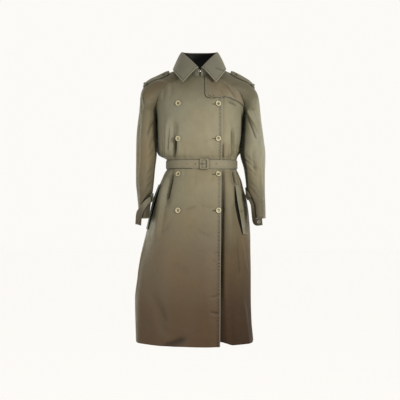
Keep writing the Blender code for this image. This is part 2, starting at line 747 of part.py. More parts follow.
def button_profile():
    """Half the outline of a button, from its middle at the top down its outer side to its foot."""
    radius = BUTTON_DIAMETER / 2
    return (
        (0.0, 0.0022),
        (radius * 0.50, 0.0023),
        (radius * 0.66, 0.0036),
        (radius * 0.86, 0.0038),
        (radius, 0.0026),
        (radius * 0.94, 0.0008),
        (radius * 0.60, 0.0),
        (0.0, 0.0),
    )


def turned_mesh(name, profile, steps, finish):
    mesh = bpy.data.meshes.new(name)
    points = [(x, 0, z) for x, z in profile]
    mesh.from_pydata(points, [(i, i + 1) for i in range(len(points) - 1)], [])
    lathe = bpy.data.objects.new(name + "_profile", mesh)
    bpy.context.scene.collection.objects.link(lathe)
    turn = lathe.modifiers.new("Turn", "SCREW")
    turn.steps = turn.render_steps = steps
    turn.use_merge_vertices = True
    turn.merge_threshold = 0.0001
    turn.use_smooth_shade = True
    bpy.context.view_layer.update()
    turned = bpy.data.meshes.new_from_object(lathe.evaluated_get(bpy.context.evaluated_depsgraph_get()))
    bpy.data.objects.remove(lathe, do_unlink=True)
    turned.name = name
    turned.materials.clear()
    turned.materials.append(finish)
    return turned


def facing(spot, outward):
    """A place with its own Z along a direction."""
    turn = Vector(outward).to_track_quat("Z", "Y").to_matrix().to_4x4()
    return Matrix.Translation(Vector(spot)) @ turn


def make_buttons(shelf, finish):
    mesh = turned_mesh("button", button_profile(), 12, finish)
    for side, x in BUTTON_COLUMNS.items():
        for row, z in enumerate(BUTTON_ROWS_Z, start=1):
            angle = angle_of(np.array(x), z)
            foot = body(z, angle, 0.0012)
            out = body(z, angle, 0.02) - foot
            made = add_object(f"button_{side}_{row}", mesh, finish, shelf)
            made.matrix_world = facing(foot, out)
    ring = -0.1135
    angle = angle_of(np.array(0.0425), ring)
    lift = FLAP_LIFT
    foot = body(ring, angle, lift + 0.0008)
    small = turned_mesh("flap_button", [(x * 0.62, z * 0.8) for x, z in button_profile()], 10, finish)
    made = add_object("flap_button", small, finish, shelf)
    made.matrix_world = facing(foot, body(ring, angle, lift + 0.02) - foot)
    return small


# Pocket mouths: the line of each slit on the body, as heights and distances from the centre.
SLITS = {
    LEFT_SIDE: ((-0.468, 0.1375), (-0.532, 0.1440), (-0.600, 0.1560), (-0.662, 0.1690)),
    RIGHT_SIDE: ((-0.464, -0.1555), (-0.532, -0.1800), (-0.590, -0.1950), (-0.644, -0.2080)),
}
WELT_GAPE = {LEFT_SIDE: 0.0070, RIGHT_SIDE: 0.0045}


def make_pockets(shelf, finish, dark):
    for side, name in ((LEFT_SIDE, "left"), (RIGHT_SIDE, "right")):
        line = Table("ring x", SLITS[side])
        rings = np.linspace(line.rows[0, 0], line.rows[-1, 0], 9)
        angle = angle_of(line.at("x", rings), rings)
        girth = RINGS.at("front", rings)
        share = np.linspace(0, 1, 4)
        # The welt stands open along the slit and lies flat at its other edge.
        gape = np.sin(math.pi * np.linspace(0.04, 0.96, 9)) * WELT_GAPE[side]
        lift = CLOTH + 3 * LAYER + gape[:, None] * (1 - share[None, :]) ** 1.4
        across = angle[:, None] - side * (share[None, :] * WELT_WIDTH / girth[:, None])
        grid = body(rings[:, None], across, lift)
        sheet(f"pocket_welt_{name}", grid, finish, shelf, flip=side == LEFT_SIDE)
        # What shows between the coat and the open edge of the welt is the dark mouth of the pocket.
        half_gap = np.sin(math.pi * np.linspace(0.05, 0.95, 9)) * 0.0050
        mouth = np.linspace(-0.3, 1.7, 3)
        across = angle[:, None] + side * (mouth[None, :] * half_gap[:, None] / girth[:, None])
        grid = body(rings[:, None], across, 0.0022)
        sheet(f"pocket_mouth_{name}", grid, dark, shelf, MOUTH_CLOTH, flip=side == RIGHT_SIDE)


# Epaulettes run along the shoulder, a little in front of its ridge, from the sleeve to near the collar.
EPAULETTE = Table(
    "share along lift width",
    (
        (0.00, 0.390, 0.0040, 0.044),
        (0.30, 0.520, 0.0050, 0.043),
        (0.80, 0.735, 0.0062, 0.040),
        (0.93, 0.795, 0.0062, 0.031),
        (1.00, 0.830, 0.0062, 0.004),
    ),
)
EPAULETTE_FORWARD = 0.021


def shoulder(side, along, offset, lift):
    """A place on the shoulder: an offset in metres from its ridge, towards the back."""
    span = np.linalg.norm(sleeve(side, along, 0.62) - sleeve(side, along, 0.38), axis=-1)
    return sleeve(side, along, 0.5 + offset / span * 0.24, lift)


def epaulette(side, share, across, lift=0.0):
    """A point of an epaulette: share from the sleeve to the tip, across from its front edge to its back."""
    offset = (across - 0.5) * EPAULETTE.at("width", share) - EPAULETTE_FORWARD
    return shoulder(side, EPAULETTE.at("along", share), offset, EPAULETTE.at("lift", share) + lift)


def make_epaulettes(shelf, finish, button_mesh, horn):
    share = np.concatenate([np.linspace(0, 0.80, 6), [0.88, 0.94, 0.98, 1.0]])
    across = np.linspace(0, 1, 5)
    for side, name in ((LEFT_SIDE, "left"), (RIGHT_SIDE, "right")):
        s, a = np.meshgrid(share, across, indexing="ij")
        turned = side == LEFT_SIDE
        sheet(f"epaulette_{name}", epaulette(side, s, a), finish, shelf, STRAP, turned)
        # The carrier is a narrow band over the epaulette, sewn down in front of it and behind it.
        s, a = np.meshgrid(np.array([0.13, 0.21]), np.linspace(-0.15, 1.15, 9), indexing="ij")
        beyond = np.clip(np.abs(a - 0.5) - 0.5, 0, 1) / 0.15
        lift = 0.0022 - (0.0056 + 0.0022) * beyond**2 + 0.0026 * (beyond > 0)
        sheet(f"epaulette_loop_{name}", epaulette(side, s, a, lift), finish, shelf, LOOP_CLOTH, turned)
        spot = epaulette(side, np.array(0.84), np.array(0.5), 0.0012)
        above = epaulette(side, np.array(0.84), np.array(0.5), 0.0112)
        made = add_object(f"epaulette_button_{name}", button_mesh, horn, shelf)
        made.matrix_world = facing(spot, above - spot)


def on_sleeve(side, z, turn, lift):
    """A place on a sleeve, or hanging straight down from its cuff."""
    z, turn, lift = np.broadcast_arrays(z, turn, lift)
    along = (np.maximum(z, CUFF_Z) - ARMPIT_Z) / (ARMPIT_Z - CUFF_Z)
    spot = sleeve(side, along, turn, lift, creased=False)
    spot[..., 2] += np.minimum(z - CUFF_Z, 0)
    return spot


# The middle line of each cuff strap, which has slipped down its sleeve: heights, and shares round the sleeve
# as for the folds. The end hangs free below the cuff.
CUFF_GIRTH = 0.275
CARRIER_SHARE = {LEFT_SIDE: (0.48, 0.55), RIGHT_SIDE: (0.37, 0.44)}  # where the carrier holds the strap
CUFF_STRAPS = {
    RIGHT_SIDE: Table(
        "share z turn",
        (
            (0.00, -0.512, -0.300),
            (0.30, -0.510, -0.020),
            (0.50, -0.528, 0.140),
            (0.70, -0.556, 0.270),
            (0.86, -0.588, 0.345),
            (1.00, -0.622, 0.385),
        ),
    ),
    LEFT_SIDE: Table(
        "share z turn",
        (
            (0.00, -0.488, -0.320),
            (0.34, -0.486, -0.040),
            (0.46, -0.498, 0.040),
            (0.60, -0.530, 0.088),
            (0.78, -0.578, 0.105),
            (0.88, -0.602, 0.140),
            (1.00, -0.611, 0.260),
        ),
    ),
}


def on_strap(side, share, offset, lift):
    """A place on a cuff strap: a share of its length, and an offset in metres across it."""
    line = CUFF_STRAPS[side]
    step = 0.01
    down = line.at("z", share + step) - line.at("z", share - step)
    round_it = (line.at("turn", share + step) - line.at("turn", share - step)) * CUFF_GIRTH
    length = np.hypot(down, round_it)
    z = line.at("z", share) + offset * round_it / length
    turn = line.at("turn", share) - offset * down / length / CUFF_GIRTH
    return on_sleeve(side, z, turn, lift)


def make_cuff_straps(shelf, finish, button_mesh, horn):
    for side, name in ((LEFT_SIDE, "left"), (RIGHT_SIDE, "right")):
        lift = STRAP + CUFF_SLACK
        share = np.linspace(0, 1, 17)
        offset = np.linspace(-0.5, 0.5, 4) * CUFF_STRAP_WIDTH
        grid = on_strap(side, share[:, None], offset[None, :], lift)
        sheet(f"cuff_strap_{name}", grid, finish, shelf, STRAP, flip=side == RIGHT_SIDE)
        spot = on_strap(side, np.array(0.93), np.array(0.0), lift + 0.0010)
        above = on_strap(side, np.array(0.93), np.array(0.0), lift + 0.0110)
        made = add_object(f"cuff_button_{name}", button_mesh, horn, shelf)
        made.matrix_world = facing(spot, above - spot)
        # The carrier loop stands over the strap, sewn down above and below it.
        share = np.array(CARRIER_SHARE[side])
        reach = np.linspace(-0.66, 0.66, 9)
        beyond = smooth((np.abs(reach) - 0.5) / 0.16)
        over = lift + CARRIER_RISE - (lift + CARRIER_RISE - 0.0030) * beyond
        grid = on_strap(side, share[:, None], reach[None, :] * CUFF_STRAP_WIDTH, over[None, :])
        sheet(f"cuff_loop_{name}", grid, finish, shelf, LOOP_CLOTH, flip=side == RIGHT_SIDE)


def main():
    clear_scene()
    shelf = bpy.data.collections.new("trench_coat")
    bpy.context.scene.collection.children.link(shelf)
    gabardine = material("gabardine", KHAKI, 0.62)
    strap_cloth = material("gabardine_strap", STRAP_KHAKI, 0.60)
    collar_cloth = material("gabardine_collar", COLLAR_KHAKI, 0.64)
    dark = material("pocket_lining", DARK_LINING, 0.9)
    horn = material("horn", HORN, 0.35)
    metal = material("metal", METAL, 0.3, 1.0)

    make_body_panels(shelf, gabardine)
    make_sleeves(shelf, gabardine)
    make_collar(shelf, collar_cloth)
    make_throat_hook(shelf, metal)
    make_storm_flap(shelf, gabardine)
    make_belt(shelf, strap_cloth)
    make_buckle(shelf, strap_cloth, metal)
    small_button = make_buttons(shelf, horn)
    make_pockets(shelf, gabardine, dark)
    make_epaulettes(shelf, strap_cloth, small_button, horn)
    make_cuff_straps(shelf, strap_cloth, small_button, horn)


main()
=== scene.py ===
# %% [markdown]
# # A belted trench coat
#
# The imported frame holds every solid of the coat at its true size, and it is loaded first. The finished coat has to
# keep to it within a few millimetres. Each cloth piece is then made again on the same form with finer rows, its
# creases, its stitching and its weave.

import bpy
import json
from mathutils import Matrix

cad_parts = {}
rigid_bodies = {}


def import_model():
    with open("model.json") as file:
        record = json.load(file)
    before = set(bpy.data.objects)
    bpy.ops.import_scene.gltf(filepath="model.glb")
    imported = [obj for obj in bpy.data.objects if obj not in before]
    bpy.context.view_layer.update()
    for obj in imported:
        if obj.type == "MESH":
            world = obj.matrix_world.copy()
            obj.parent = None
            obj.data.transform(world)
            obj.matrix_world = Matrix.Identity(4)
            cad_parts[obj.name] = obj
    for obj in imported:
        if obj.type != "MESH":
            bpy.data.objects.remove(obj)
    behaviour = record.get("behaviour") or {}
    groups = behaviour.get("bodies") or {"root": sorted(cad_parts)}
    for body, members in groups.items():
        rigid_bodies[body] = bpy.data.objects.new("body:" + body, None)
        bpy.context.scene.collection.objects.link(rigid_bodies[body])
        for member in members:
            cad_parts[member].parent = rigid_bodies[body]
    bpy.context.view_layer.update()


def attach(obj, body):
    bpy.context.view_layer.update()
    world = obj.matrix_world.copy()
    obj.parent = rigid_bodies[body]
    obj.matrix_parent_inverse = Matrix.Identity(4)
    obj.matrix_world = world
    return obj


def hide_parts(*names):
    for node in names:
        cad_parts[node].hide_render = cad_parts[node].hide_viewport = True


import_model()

# %% The modules that the lesson uses
import json
import math

import bmesh
import bpy
import numpy as np
from mathutils import Matrix, Vector

QUARTER, TURN = math.pi / 2, 2 * math.pi
LEFT, RIGHT = 1, -1  # +X is the wearer's left
SIDES = {LEFT: "left", RIGHT: "right"}
scene = bpy.context.scene


def add_object(name, data):
    made = bpy.data.objects.new(name, data)
    scene.collection.objects.link(made)
    return made


def face_outwards(mesh):
    solid = bmesh.new()
    solid.from_mesh(mesh)
    bmesh.ops.recalc_face_normals(solid, faces=solid.faces)
    solid.to_mesh(mesh)
    solid.free()


def hard_piece(name, vertices, faces, finish, place=Matrix()):
    """An object from points and faces, moved to its place."""
    mesh = bpy.data.meshes.new(name)
    mesh.from_pydata(vertices, [], faces)
    mesh.transform(place)
    face_outwards(mesh)
    mesh.materials.append(finish)
    return add_object(name, mesh)


# %% [markdown]
# ## The camera
#
# The coat is looked at from the front, level, from three and a half metres. Making the camera first means that
# every later step can be judged in the same frame. A long lens keeps the skirt from growing towards the viewer.

# %% Place the camera
CAMERA_DISTANCE, VIEW_CENTRE_Z, VIEW_HALF_HEIGHT = 3.5, -0.525, 0.82

camera = add_object("camera", bpy.data.cameras.new("camera"))
camera.location = (0, -CAMERA_DISTANCE, VIEW_CENTRE_Z)
camera.rotation_euler = (QUARTER, 0, 0)
camera.data.angle = 2 * math.atan(VIEW_HALF_HEIGHT / CAMERA_DISTANCE)
scene.camera = camera
print("lens", round(camera.data.lens, 1), "mm")

# %% [markdown]
# ## Node helpers
#
# Every finish is a small tree of nodes. One function adds a node and feeds its inputs, either with a number or
# with another node's output, and the others are the few groups of nodes that come back in each finish.


# %% Feed a node
def feed(tree, socket, value):
    """Link a socket to an output, or set it."""
    if isinstance(value, bpy.types.NodeSocket):
        tree.links.new(value, socket)
    else:
        socket.default_value = (*value, 1) if socket.type == "RGBA" else value


def add_node(tree, kind, **settings):
    """A node with its settings and inputs. In the name of an input, an underscore stands for a space."""
    node = tree.nodes.new(kind)
    for key, value in settings.items():
        name = key.replace("_", " ")
        if name in node.inputs:
            feed(tree, node.inputs[name], value)
        else:
            setattr(node, key, value)
    return node


def new_finish(name, base, roughness, **inputs):
    made = bpy.data.materials.new(name)
    made.use_nodes = True
    shader = made.node_tree.nodes["Principled BSDF"]
    for key, value in {"Base Color": base, "Roughness": roughness, **inputs}.items():
        feed(made.node_tree, shader.inputs[key.replace("_", " ")], value)
    return made, made.node_tree, shader.inputs


def object_place(tree):
    return add_node(tree, "ShaderNodeTexCoord").outputs["Object"]


def attribute(tree, name):
    return add_node(tree, "ShaderNodeAttribute", attribute_name=name).outputs["Fac"]


def noise(tree, place, scale, detail=2.0, **settings):
    return add_node(tree, "ShaderNodeTexNoise", Vector=place, Scale=scale, Detail=detail, **settings).outputs["Fac"]


def in_range(tree, value, **ends):
    return add_node(tree, "ShaderNodeMapRange", Value=value, **ends).outputs[0]


def colour_ramp(tree, factor, *stops):
    ramp = add_node(tree, "ShaderNodeValToRGB", Fac=factor)
    for _ in stops[2:]:
        ramp.color_ramp.elements.new(0.5)
    for element, (place, colour) in zip(ramp.color_ramp.elements, stops):
        element.position = place
        element.color = (*colour, 1)
    return ramp.outputs["Color"]


def grey_ramp(tree, factor, *stops):
    return colour_ramp(tree, factor, *((place, (grey, grey, grey)) for place, grey in stops))


def mixed(tree, kind, factor, first, second):
    """Two colours mixed. The colour sockets of the node come after those for numbers and directions."""
    node = add_node(tree, "ShaderNodeMix", data_type="RGBA", blend_type=kind, Factor=factor)
    feed(tree, node.inputs[6], first)
    feed(tree, node.inputs[7], second)
    return node.outputs[2]


def bumps(tree, *layers):
    """A normal from layers of strength, depth and height, the coarsest first."""
    normal = {}
    for strength, depth, height in layers:
        layer = add_node(tree, "ShaderNodeBump", Strength=strength, Distance=depth, Height=height, **normal)
        normal = {"Normal": layer.outputs[0]}
    return layer.outputs[0]


def tinted(stops, gain):
    return [(place, tuple(np.multiply(colour, gain))) for place, colour in stops]


# %% [markdown]
# ## Floor and light
#
# A pale floor lies well below the hem, because the coat hangs. The world is off-white and gives even light from all
# round. The key lamp stands in front on the wearer's left, level with the collar, so the skirt is darker than the
# shoulders; the cloth is also painted darker towards the hem, as painted shade. A weak warm one stands low on the
# other side, and two more behind the coat draw its edges.

# %% Floor, world and lamps
FLOOR_Z, FLOOR_HALF = -3.0, 40.0
FLOOR_CORNERS = [(x * FLOOR_HALF, y * FLOOR_HALF, 0) for x, y in ((-1, -1), (1, -1), (1, 1), (-1, 1))]

floor_paint = new_finish("floor_paint", (0.995, 0.993, 0.988), 0.9)[0]
floor = hard_piece("floor", FLOOR_CORNERS, [(0, 1, 2, 3)], floor_paint)
floor.location.z = FLOOR_Z

world = bpy.data.worlds.new("studio")
world.use_nodes = True
world.node_tree.nodes["Background"].inputs["Color"].default_value = (0.975, 0.958, 0.925, 1)
world.node_tree.nodes["Background"].inputs["Strength"].default_value = 1.0
scene.world = world
scene.view_settings.view_transform = "Standard"


def soft_lamp(name, place, target, size, watts, colour):
    """A square area lamp that looks at a target."""
    lamp = add_object(name, bpy.data.lights.new(name, "AREA"))
    lamp.data.size, lamp.data.energy, lamp.data.color = size, watts, colour
    lamp.location = place
    lamp.rotation_euler = (Vector(place) - Vector(target)).to_track_quat("Z", "Y").to_euler()


soft_lamp("key", (1.30, -1.45, 0.05), (0, 0, -0.30), 0.40, 42, (1.0, 0.98, 0.93))
soft_lamp("low_fill", (-1.3, -1.5, -0.75), (0, 0, -0.80), 0.5, 19, (1.0, 0.94, 0.84))
soft_lamp("rim_right_hand", (-1.5, 0.9, -0.2), (-0.1, 0, -0.5), 0.6, 11, (0.92, 1.0, 0.94))
soft_lamp("rim_left_hand", (1.6, 0.9, -0.3), (0.1, 0, -0.6), 0.6, 7.5, (0.92, 1.0, 0.94))

# %% [markdown]
# ## Tables that are read on smooth curves
#
# A coat has few hard numbers and many gentle changes between them. A table with named columns keeps the numbers
# that a cutter would measure, and a monotone cubic through the rows gives every size in between without the
# overshoot that an ordinary spline has. A column whose name ends in _mm is typed in millimetres and read in metres.


# %% A table of sizes
def typed(text):
    """The names of the columns and the rows under them."""
    names, *rows = [line.split("#")[0].split() for line in text.strip().splitlines()]
    scale = [1000 if name.endswith("_mm") else 1 for name in names]
    return [name.removesuffix("_mm") for name in names], np.array(rows, float) / scale


class Table:
    def __init__(self, text):
        self.names, rows = typed(text)
        self.rows = rows[np.argsort(rows[:, 0])]

    def column(self, name):
        return self.rows[:, self.names.index(name)]

    def at(self, name, place, by=None):
        key, value = self.column(by or self.names[0]), self.column(name)
        place = np.clip(np.asarray(place, float), key[0], key[-1])
        step = np.diff(key)
        slope = np.diff(value) / step
        same = slope[1:] * slope[:-1] > 0
        total = np.where(same, slope[1:] + slope[:-1], 1.0)
        tangent = np.array([slope[0], *np.where(same, 2 * slope[1:] * slope[:-1] / total, 0.0), slope[-1]])
        low = np.clip(np.searchsorted(key, place, side="right") - 1, 0, len(step) - 1)
        t = (place - key[low]) / step[low]
        return (
            value[low] * (1 + 2 * t) * (1 - t) ** 2
            + step[low] * tangent[low] * t * (1 - t) ** 2
            + value[low + 1] * t**2 * (3 - 2 * t)
            + step[low] * tangent[low + 1] * t**2 * (t - 1)
        )

    def point(self, place):
        return np.stack([self.at(axis, place) for axis in "xyz"], axis=-1)


def smooth(t):
    t = np.clip(t, 0.0, 1.0)
    return t * t * (3 - 2 * t)


def ease(value, start, end):
    """0 at the start, 1 at the end and beyond it, and an even S curve between them."""
    return smooth((value - start) / (end - start))


def unit(v):
    return v / np.maximum(np.linalg.norm(v, axis=-1, keepdims=True), 1e-9)


def together(*values):
    """Numbers and arrays as arrays of one shape."""
    return np.broadcast_arrays(*(np.asarray(value, float) for value in values))


def points(x, y, z):
    return np.stack(together(x, y, z), axis=-1)


# %% [markdown]
# ## The form of the body
#
# The coat is filled out as if worn. Its body is a stack of rings, each an oval with its own half widths to the
# wearer's right and left and its own depth to the front and back. Above the armpit a ring tilts, high behind and
# low in front, up to the neckline. Each ring is named by its height at the centre front.

# %% Driving sizes
CLOTH = 0.0018  # one made-up layer
STRAP = 0.0022  # belts and straps are two layers and a stiffener
LOOP_CLOTH, MOUTH_CLOTH = 0.0012, 0.0009
SEAM = 0.0004  # gap between two pieces that are sewn together
SEAM_LINE = 0.00003  # and between the panels of the body, whose edges are pressed against each other
LAYER = 0.0009  # gap between a piece and the cloth that it lies on
HEM_Z, ARMPIT_Z, NECK_Z, CUFF_Z = -1.095, -0.165, -0.030, -0.598
UNDERLAP_SHORTER, HEM_RISE = 0.012, 0.017
BUTTON_COLUMNS = {"right": -0.086, "left": 0.072}
BUTTON_ROWS_Z = (-0.146, -0.281, -0.422, -0.566)
BUTTON_DIAMETER = 0.0225
BELT_Z, BELT_WIDTH, BELT_LAP = -0.3815, 0.031, 0.0006
BUCKLE_X, BUCKLE_WIDTH, BUCKLE_HEIGHT = 0.0165, 0.039, 0.043
SLEEVE_GIRTH = 0.36
CUFF_STRAP_WIDTH, CUFF_SLACK, CARRIER_RISE = 0.026, 0.0024, 0.0040
WELT_WIDTH = 0.031
COLLAR_LEFT_REACH = 0.95
FLAP_LIFT, FLAP_INSET, FLAP_FRONT_EDGE, FLAP_CORNER = 0.0042, 0.006, 0.0215, 0.016

# %% The rings
RINGS = Table("""
front_z_mm side_z_mm back_z_mm right_mm left_mm front_mm back_mm power
-1095 -1095 -1095 262 218 203 212 2.15
-930 -930 -930 266 204 190 200 2.15
-810 -810 -810 249 206 178 188 2.15
-690 -690 -690 224 206 165 176 2.15
-600 -600 -600 206 201 154 166 2.15
-530 -530 -530 191 192 145 156 2.15
-480 -480 -480 173 178 136 146 2.15
-445 -445 -445 158 169 127 135 2.15
-415 -415 -415 145 156.5 115 120 2.15
-400 -400 -400 136.5 150.5 109.5 112.5 2.15
-363 -363 -363 136.5 150.5 109.5 112.5 2.15
-345 -345 -345 160 154 118 121 2.25
-325 -325 -325 171 159 124 126 2.3
-280 -280 -280 173 167 130 127 2.35
-220 -220 -220 174 173 134 124 2.4
-165 -165 -165 178 180 134 119 2.4
-130 -85 -105 190 188 128 118 2.4
-105 -44 -62 180 178 120 115 2.4
-80 -18 -24 146 146 110 106 2.3
-52 2 8 106 106 97 90 2.2
-30 16 30 72 72 82 68 2.1
""")


def bare_body(ring, angle):
    """A place on the body: angle 0 is the wearer's left side, a quarter turn the front, half the right side."""
    ring, angle = together(ring, angle)
    cosine, sine = np.cos(angle), np.sin(angle)
    power = 2 / RINGS.at("power", ring)
    wide = np.where(cosine > 0, RINGS.at("left", ring), RINGS.at("right", ring))
    reach = np.where(sine > 0, RINGS.at("front", ring), RINGS.at("back", ring))
    side = RINGS.at("side_z", ring)
    end = np.where(sine > 0, ring, RINGS.at("back_z", ring))
    across, deep = (np.sign(share) * np.abs(share) ** power for share in (cosine, sine))
    return points(wide * across, -reach * deep, side + (end - side) * sine**2)


def angle_of(x, ring):
    """The angle at which a front ring reaches a distance from the centre."""
    wide = np.where(np.asarray(x) > 0, RINGS.at("left", ring), RINGS.at("right", ring))
    share = np.clip(np.abs(x) / wide, 0, 1) ** (RINGS.at("power", ring) / 2)
    return np.arccos(np.sign(x) * share)


print("hem", bare_body(HEM_Z, QUARTER), "neck", bare_body(NECK_Z, QUARTER))

# %% [markdown]
# ## Folds and creases
#
# Real cloth folds where it is gathered or pulled: into the belt, from the belt down, and where an arm bends. Each
# fold here is one row: where it starts and ends, how deep it is and how wide. A trough is sharp at its bottom and
# a ridge is round, as cloth is. The wide folds are those of the solids; most of the small creases are only here.

# %% Folds of the body
FOLD_COLUMNS = "top_mm bottom_mm top_x_mm bottom_x_mm depth_mm width_mm"
FRONT_FOLDS = typed(FOLD_COLUMNS + """
-190 -368 -107 -108 -12 16  # wide folds
-180 -368 -130 -134 8 16
-190 -368 113 116 7 15
-230 -368 132 131 -12 16
-396 -560 -108 -140 -12 18
-396 -700 -134 -180 10 22
-396 -468 131 138 -11 17
-396 -760 112 125 8 20
-640 -1500 -75 -60 -9 36
-560 -1500 -225 -250 9 42
-600 -1500 140 160 -11 32
-520 -1500 190 205 8 34
-262 -371 -101.5 -102.5 -13 4.6  # gathers, wearer's right
-205 -340 -93 -102 -3.5 8
-212 -345 -121 -129 -6.5 5.2
-240 -371 -112 -113 3.6 5.8
-200 -366 -119 -122 3 6
-215 -362 -143 -142 -4.5 6
-250 -370 -157 -152 -4 5
-225 -366 -86 -92 2.4 8
-300 -371 -64 -66 -2.6 5
-318 -371 -40 -41 -2 4.5
-180 -350 14 44 2.4 16  # the slow pull across the chest
-200 -358 32 60 -2.2 12
-325 -371 47 49 -2.6 4.5
-290 -371 94.5 93.5 -6.5 5.2  # gathers, wearer's left
-238 -371 130 128.5 -14 6.2
-300 -371 114 112 -3.5 5
-230 -368 120 121 3.2 6.5
-230 -368 142 141 3.4 5.5
-300 -370 152 150 -3.5 4.5
-58 -128 -108 -115 -3.4 7.5  # hanging from the shoulder
-64 -150 -142 -148 -3 7
-64 -140 -125 -130 2.6 8
-392 -535 -108 -138 -11 5.8  # below the belt
-392 -520 -97 -122 3 8
-440 -690 -127 -159 -4 11
-392 -440 -60 -64 -2 6
-392 -480 -20 -24 -1.8 8
-392 -455 45 47 -2.2 6
-392 -980 96.5 88 -11 5.8  # beside the edge of the overlap
-392 -466 137 148 -9.5 4.6
-392 -500 149 163 -4.5 5.5
-392 -560 122 130 3.6 7.5
-392 -450 -145 -165 -3.5 6
-664 -810 163 184 4.5 7  # the skirt
-680 -840 150 165 -4 8
-760 -1160 118 146 -8 20
-900 -1160 172 192 5.5 16
-640 -930 -212 -256 4.5 8
-860 -1080 -200 -125 -4.5 22
-620 -1000 20 -5 3 30
-820 -1160 30 36 3 20
""")[1]
BACK_FOLDS = typed(FOLD_COLUMNS + """
-240 -368 -145 -128 -10 18  # wide folds
-230 -368 -98 -88 -11 18
-220 -368 -30 -28 7 19
-240 -368 48 45 -11 18
-250 -368 118 112 -10 18
-396 -800 -118 -190 -11 20
-396 -1500 -90 -165 12 33
-396 -1500 -45 -85 -13 31
-396 -1500 12 30 12 34
-396 -1500 65 115 -13 29
-396 -1500 118 180 11 31
-396 -800 140 190 -8 17
-300 -371 -120 -112 -7.5 4.5  # gathers
-285 -371 -66 -62 -6 4.5
-310 -371 -10 -9 -5 4.5
-280 -371 28 27 -6.5 4.5
-295 -371 86 81 -7.5 4.5
-240 -366 -80 -76 3 7
-230 -366 66 64 3 7
-392 -520 -66 -82 -6 5.5
-392 -640 -18 -26 -5.5 7
-392 -560 38 50 -6.5 5.5
-392 -500 92 110 -6 5
-392 -470 -110 -130 -5 5
-120 -330 -150 -120 -3 14
-120 -330 150 118 -3.5 14
-760 -1160 -120 -130 -5 20
-700 -1160 70 85 -4.5 18
-85 -358 -169 -164 25.5 25  # the blouse hangs full behind the arms
-85 -354 172 158 27 25
""")[1]
# Creases that run across the front
FRONT_SLANTS = typed("""
start_x_mm start_z_mm end_x_mm end_z_mm depth_mm width_mm
-62 -566 -8 -546 -3 6
-10 -546 60 -558 -2.2 6
36 -906 80 -897 -3 4
36 -960 78 -968 -4.2 4.2
44 -768 60 -764 -2.6 4
45 -742 78 -728 -2.2 4.5
108 -134 148 -150 -5 4.2
94 -56 152 -134 -4.6 8.5  # a fan of soft folds on the storm flap
84 -64 130 -128 3.4 8.5
76 -76 104 -124 -3 7.5
110 -52 162 -118 2.2 6
38 -116 60 -124 -3.6 3.2  # the pull under its button
118 -152 150 -160 2.5 5.5
-20 -640 50 -672 -2.2 16
-120 -760 -20 -820 -2 24
-80 -200 -10 -228 -1.4 12
-86 -290 -30 -312 -1.8 8
4 -300 62 -284 -1.8 7
-110 -600 -140 -640 -2 10
-152 -1104 -46 -1060 -5.4 15  # the hem has turned in a little
-160 -930 -125 -1010 -2.6 13
""")[1]


def across_fold(away, depth, width):
    """The height of a fold at a distance from its line: a narrow trough is sharper than a ridge."""
    sharpness = 1.5 if depth < 0 and width < 0.012 else 2.0
    return depth * np.exp(-(np.abs(away) / width) ** sharpness)


def fold_height(folds, down, turn, line, girth):
    """How far folds move the cloth out. line turns a fold's place into a share of the way round."""
    total = np.zeros(np.broadcast(down, turn).shape)
    for top, bottom, start, end, depth, width in folds:
        t = (top - down) / (top - bottom)
        away = turn - line(start + (end - start) * np.clip(t, 0, 1), down)
        away = ((away + 0.5) % 1.0 - 0.5) * girth
        total = total + across_fold(away, depth, width) * smooth(t / 0.3) * ease(t, 1, 0.78)
    return total


def slant_height(across, down):
    """The same for the creases that run from one place to another across the front."""
    total = np.zeros(np.broadcast(down, across).shape)
    for x0, z0, x1, z1, depth, width in FRONT_SLANTS:
        length = math.hypot(x1 - x0, z1 - z0)
        t = ((across - x0) * (x1 - x0) + (down - z0) * (z1 - z0)) / length**2
        away = ((across - x0) * (z1 - z0) - (down - z0) * (x1 - x0)) / length
        total = total + across_fold(away, depth, width) * ease(t, -0.1, 0.3) * ease(t, 1.1, 0.7)
    return total


# %% Moving a surface along its normal
def lifted(surface, u, v, lift, swap=1.0):
    step_u, step_v = 0.002, 0.004
    along = surface(u + step_u, v) - surface(u - step_u, v)
    round_it = surface(u, v + step_v) - surface(u, v - step_v)
    normal = unit(np.cross(along, round_it)) * swap
    return surface(u, v) + normal * np.asarray(lift)[..., None]


def folds_round(front, back, ring, angle):
    """The height of folds whose places are distances from the centre front and the centre back."""
    ring, angle = together(ring, angle)
    girth = math.pi * (RINGS.at("right", ring) + RINGS.at("front", ring))
    turn = angle / TURN
    ahead = fold_height(front, ring, turn, lambda x, z: angle_of(x, z) / TURN, girth)
    return ahead + fold_height(back, ring, turn, lambda x, z: -angle_of(x, z) / TURN, girth)


def body_folds(ring, angle):
    slanted = slant_height(bare_body(ring, angle)[..., 0], ring) * (np.sin(angle) > 0)
    return folds_round(FRONT_FOLDS, BACK_FOLDS, ring, angle) + slanted


def in_crease(ring, angle):
    """How deep a place lies in the narrow creases: 0 outside them, 1 at the bottom of the sharpest."""
    narrow = 0.010  # only creases narrower than this get painted shade
    front, back = (folds[folds[:, -1] < narrow] for folds in (FRONT_FOLDS, BACK_FOLDS))
    return ease(folds_round(front, back, ring, angle), -0.0012, -0.0097)


def body(ring, angle, lift=0.0):
    ring, angle = together(ring, angle)
    return lifted(bare_body, ring, angle, body_folds(ring, angle) + lift)


print("deepest fold at the belt", round(float(body_folds(-0.33, np.radians(np.arange(0, 360, 2))).min()), 4))

# %% [markdown]
# ## The sleeves
#
# A raglan sleeve runs on over the shoulder to the collar, so one surface serves for the arm and the shoulder. Below
# the armpit it is a slim oval tube. Above it, each cross line is a soft arch from the front seam over the ridge of
# the shoulder to the back seam, drawn with two Bezier curves. The seam itself is a line on the body's rings.

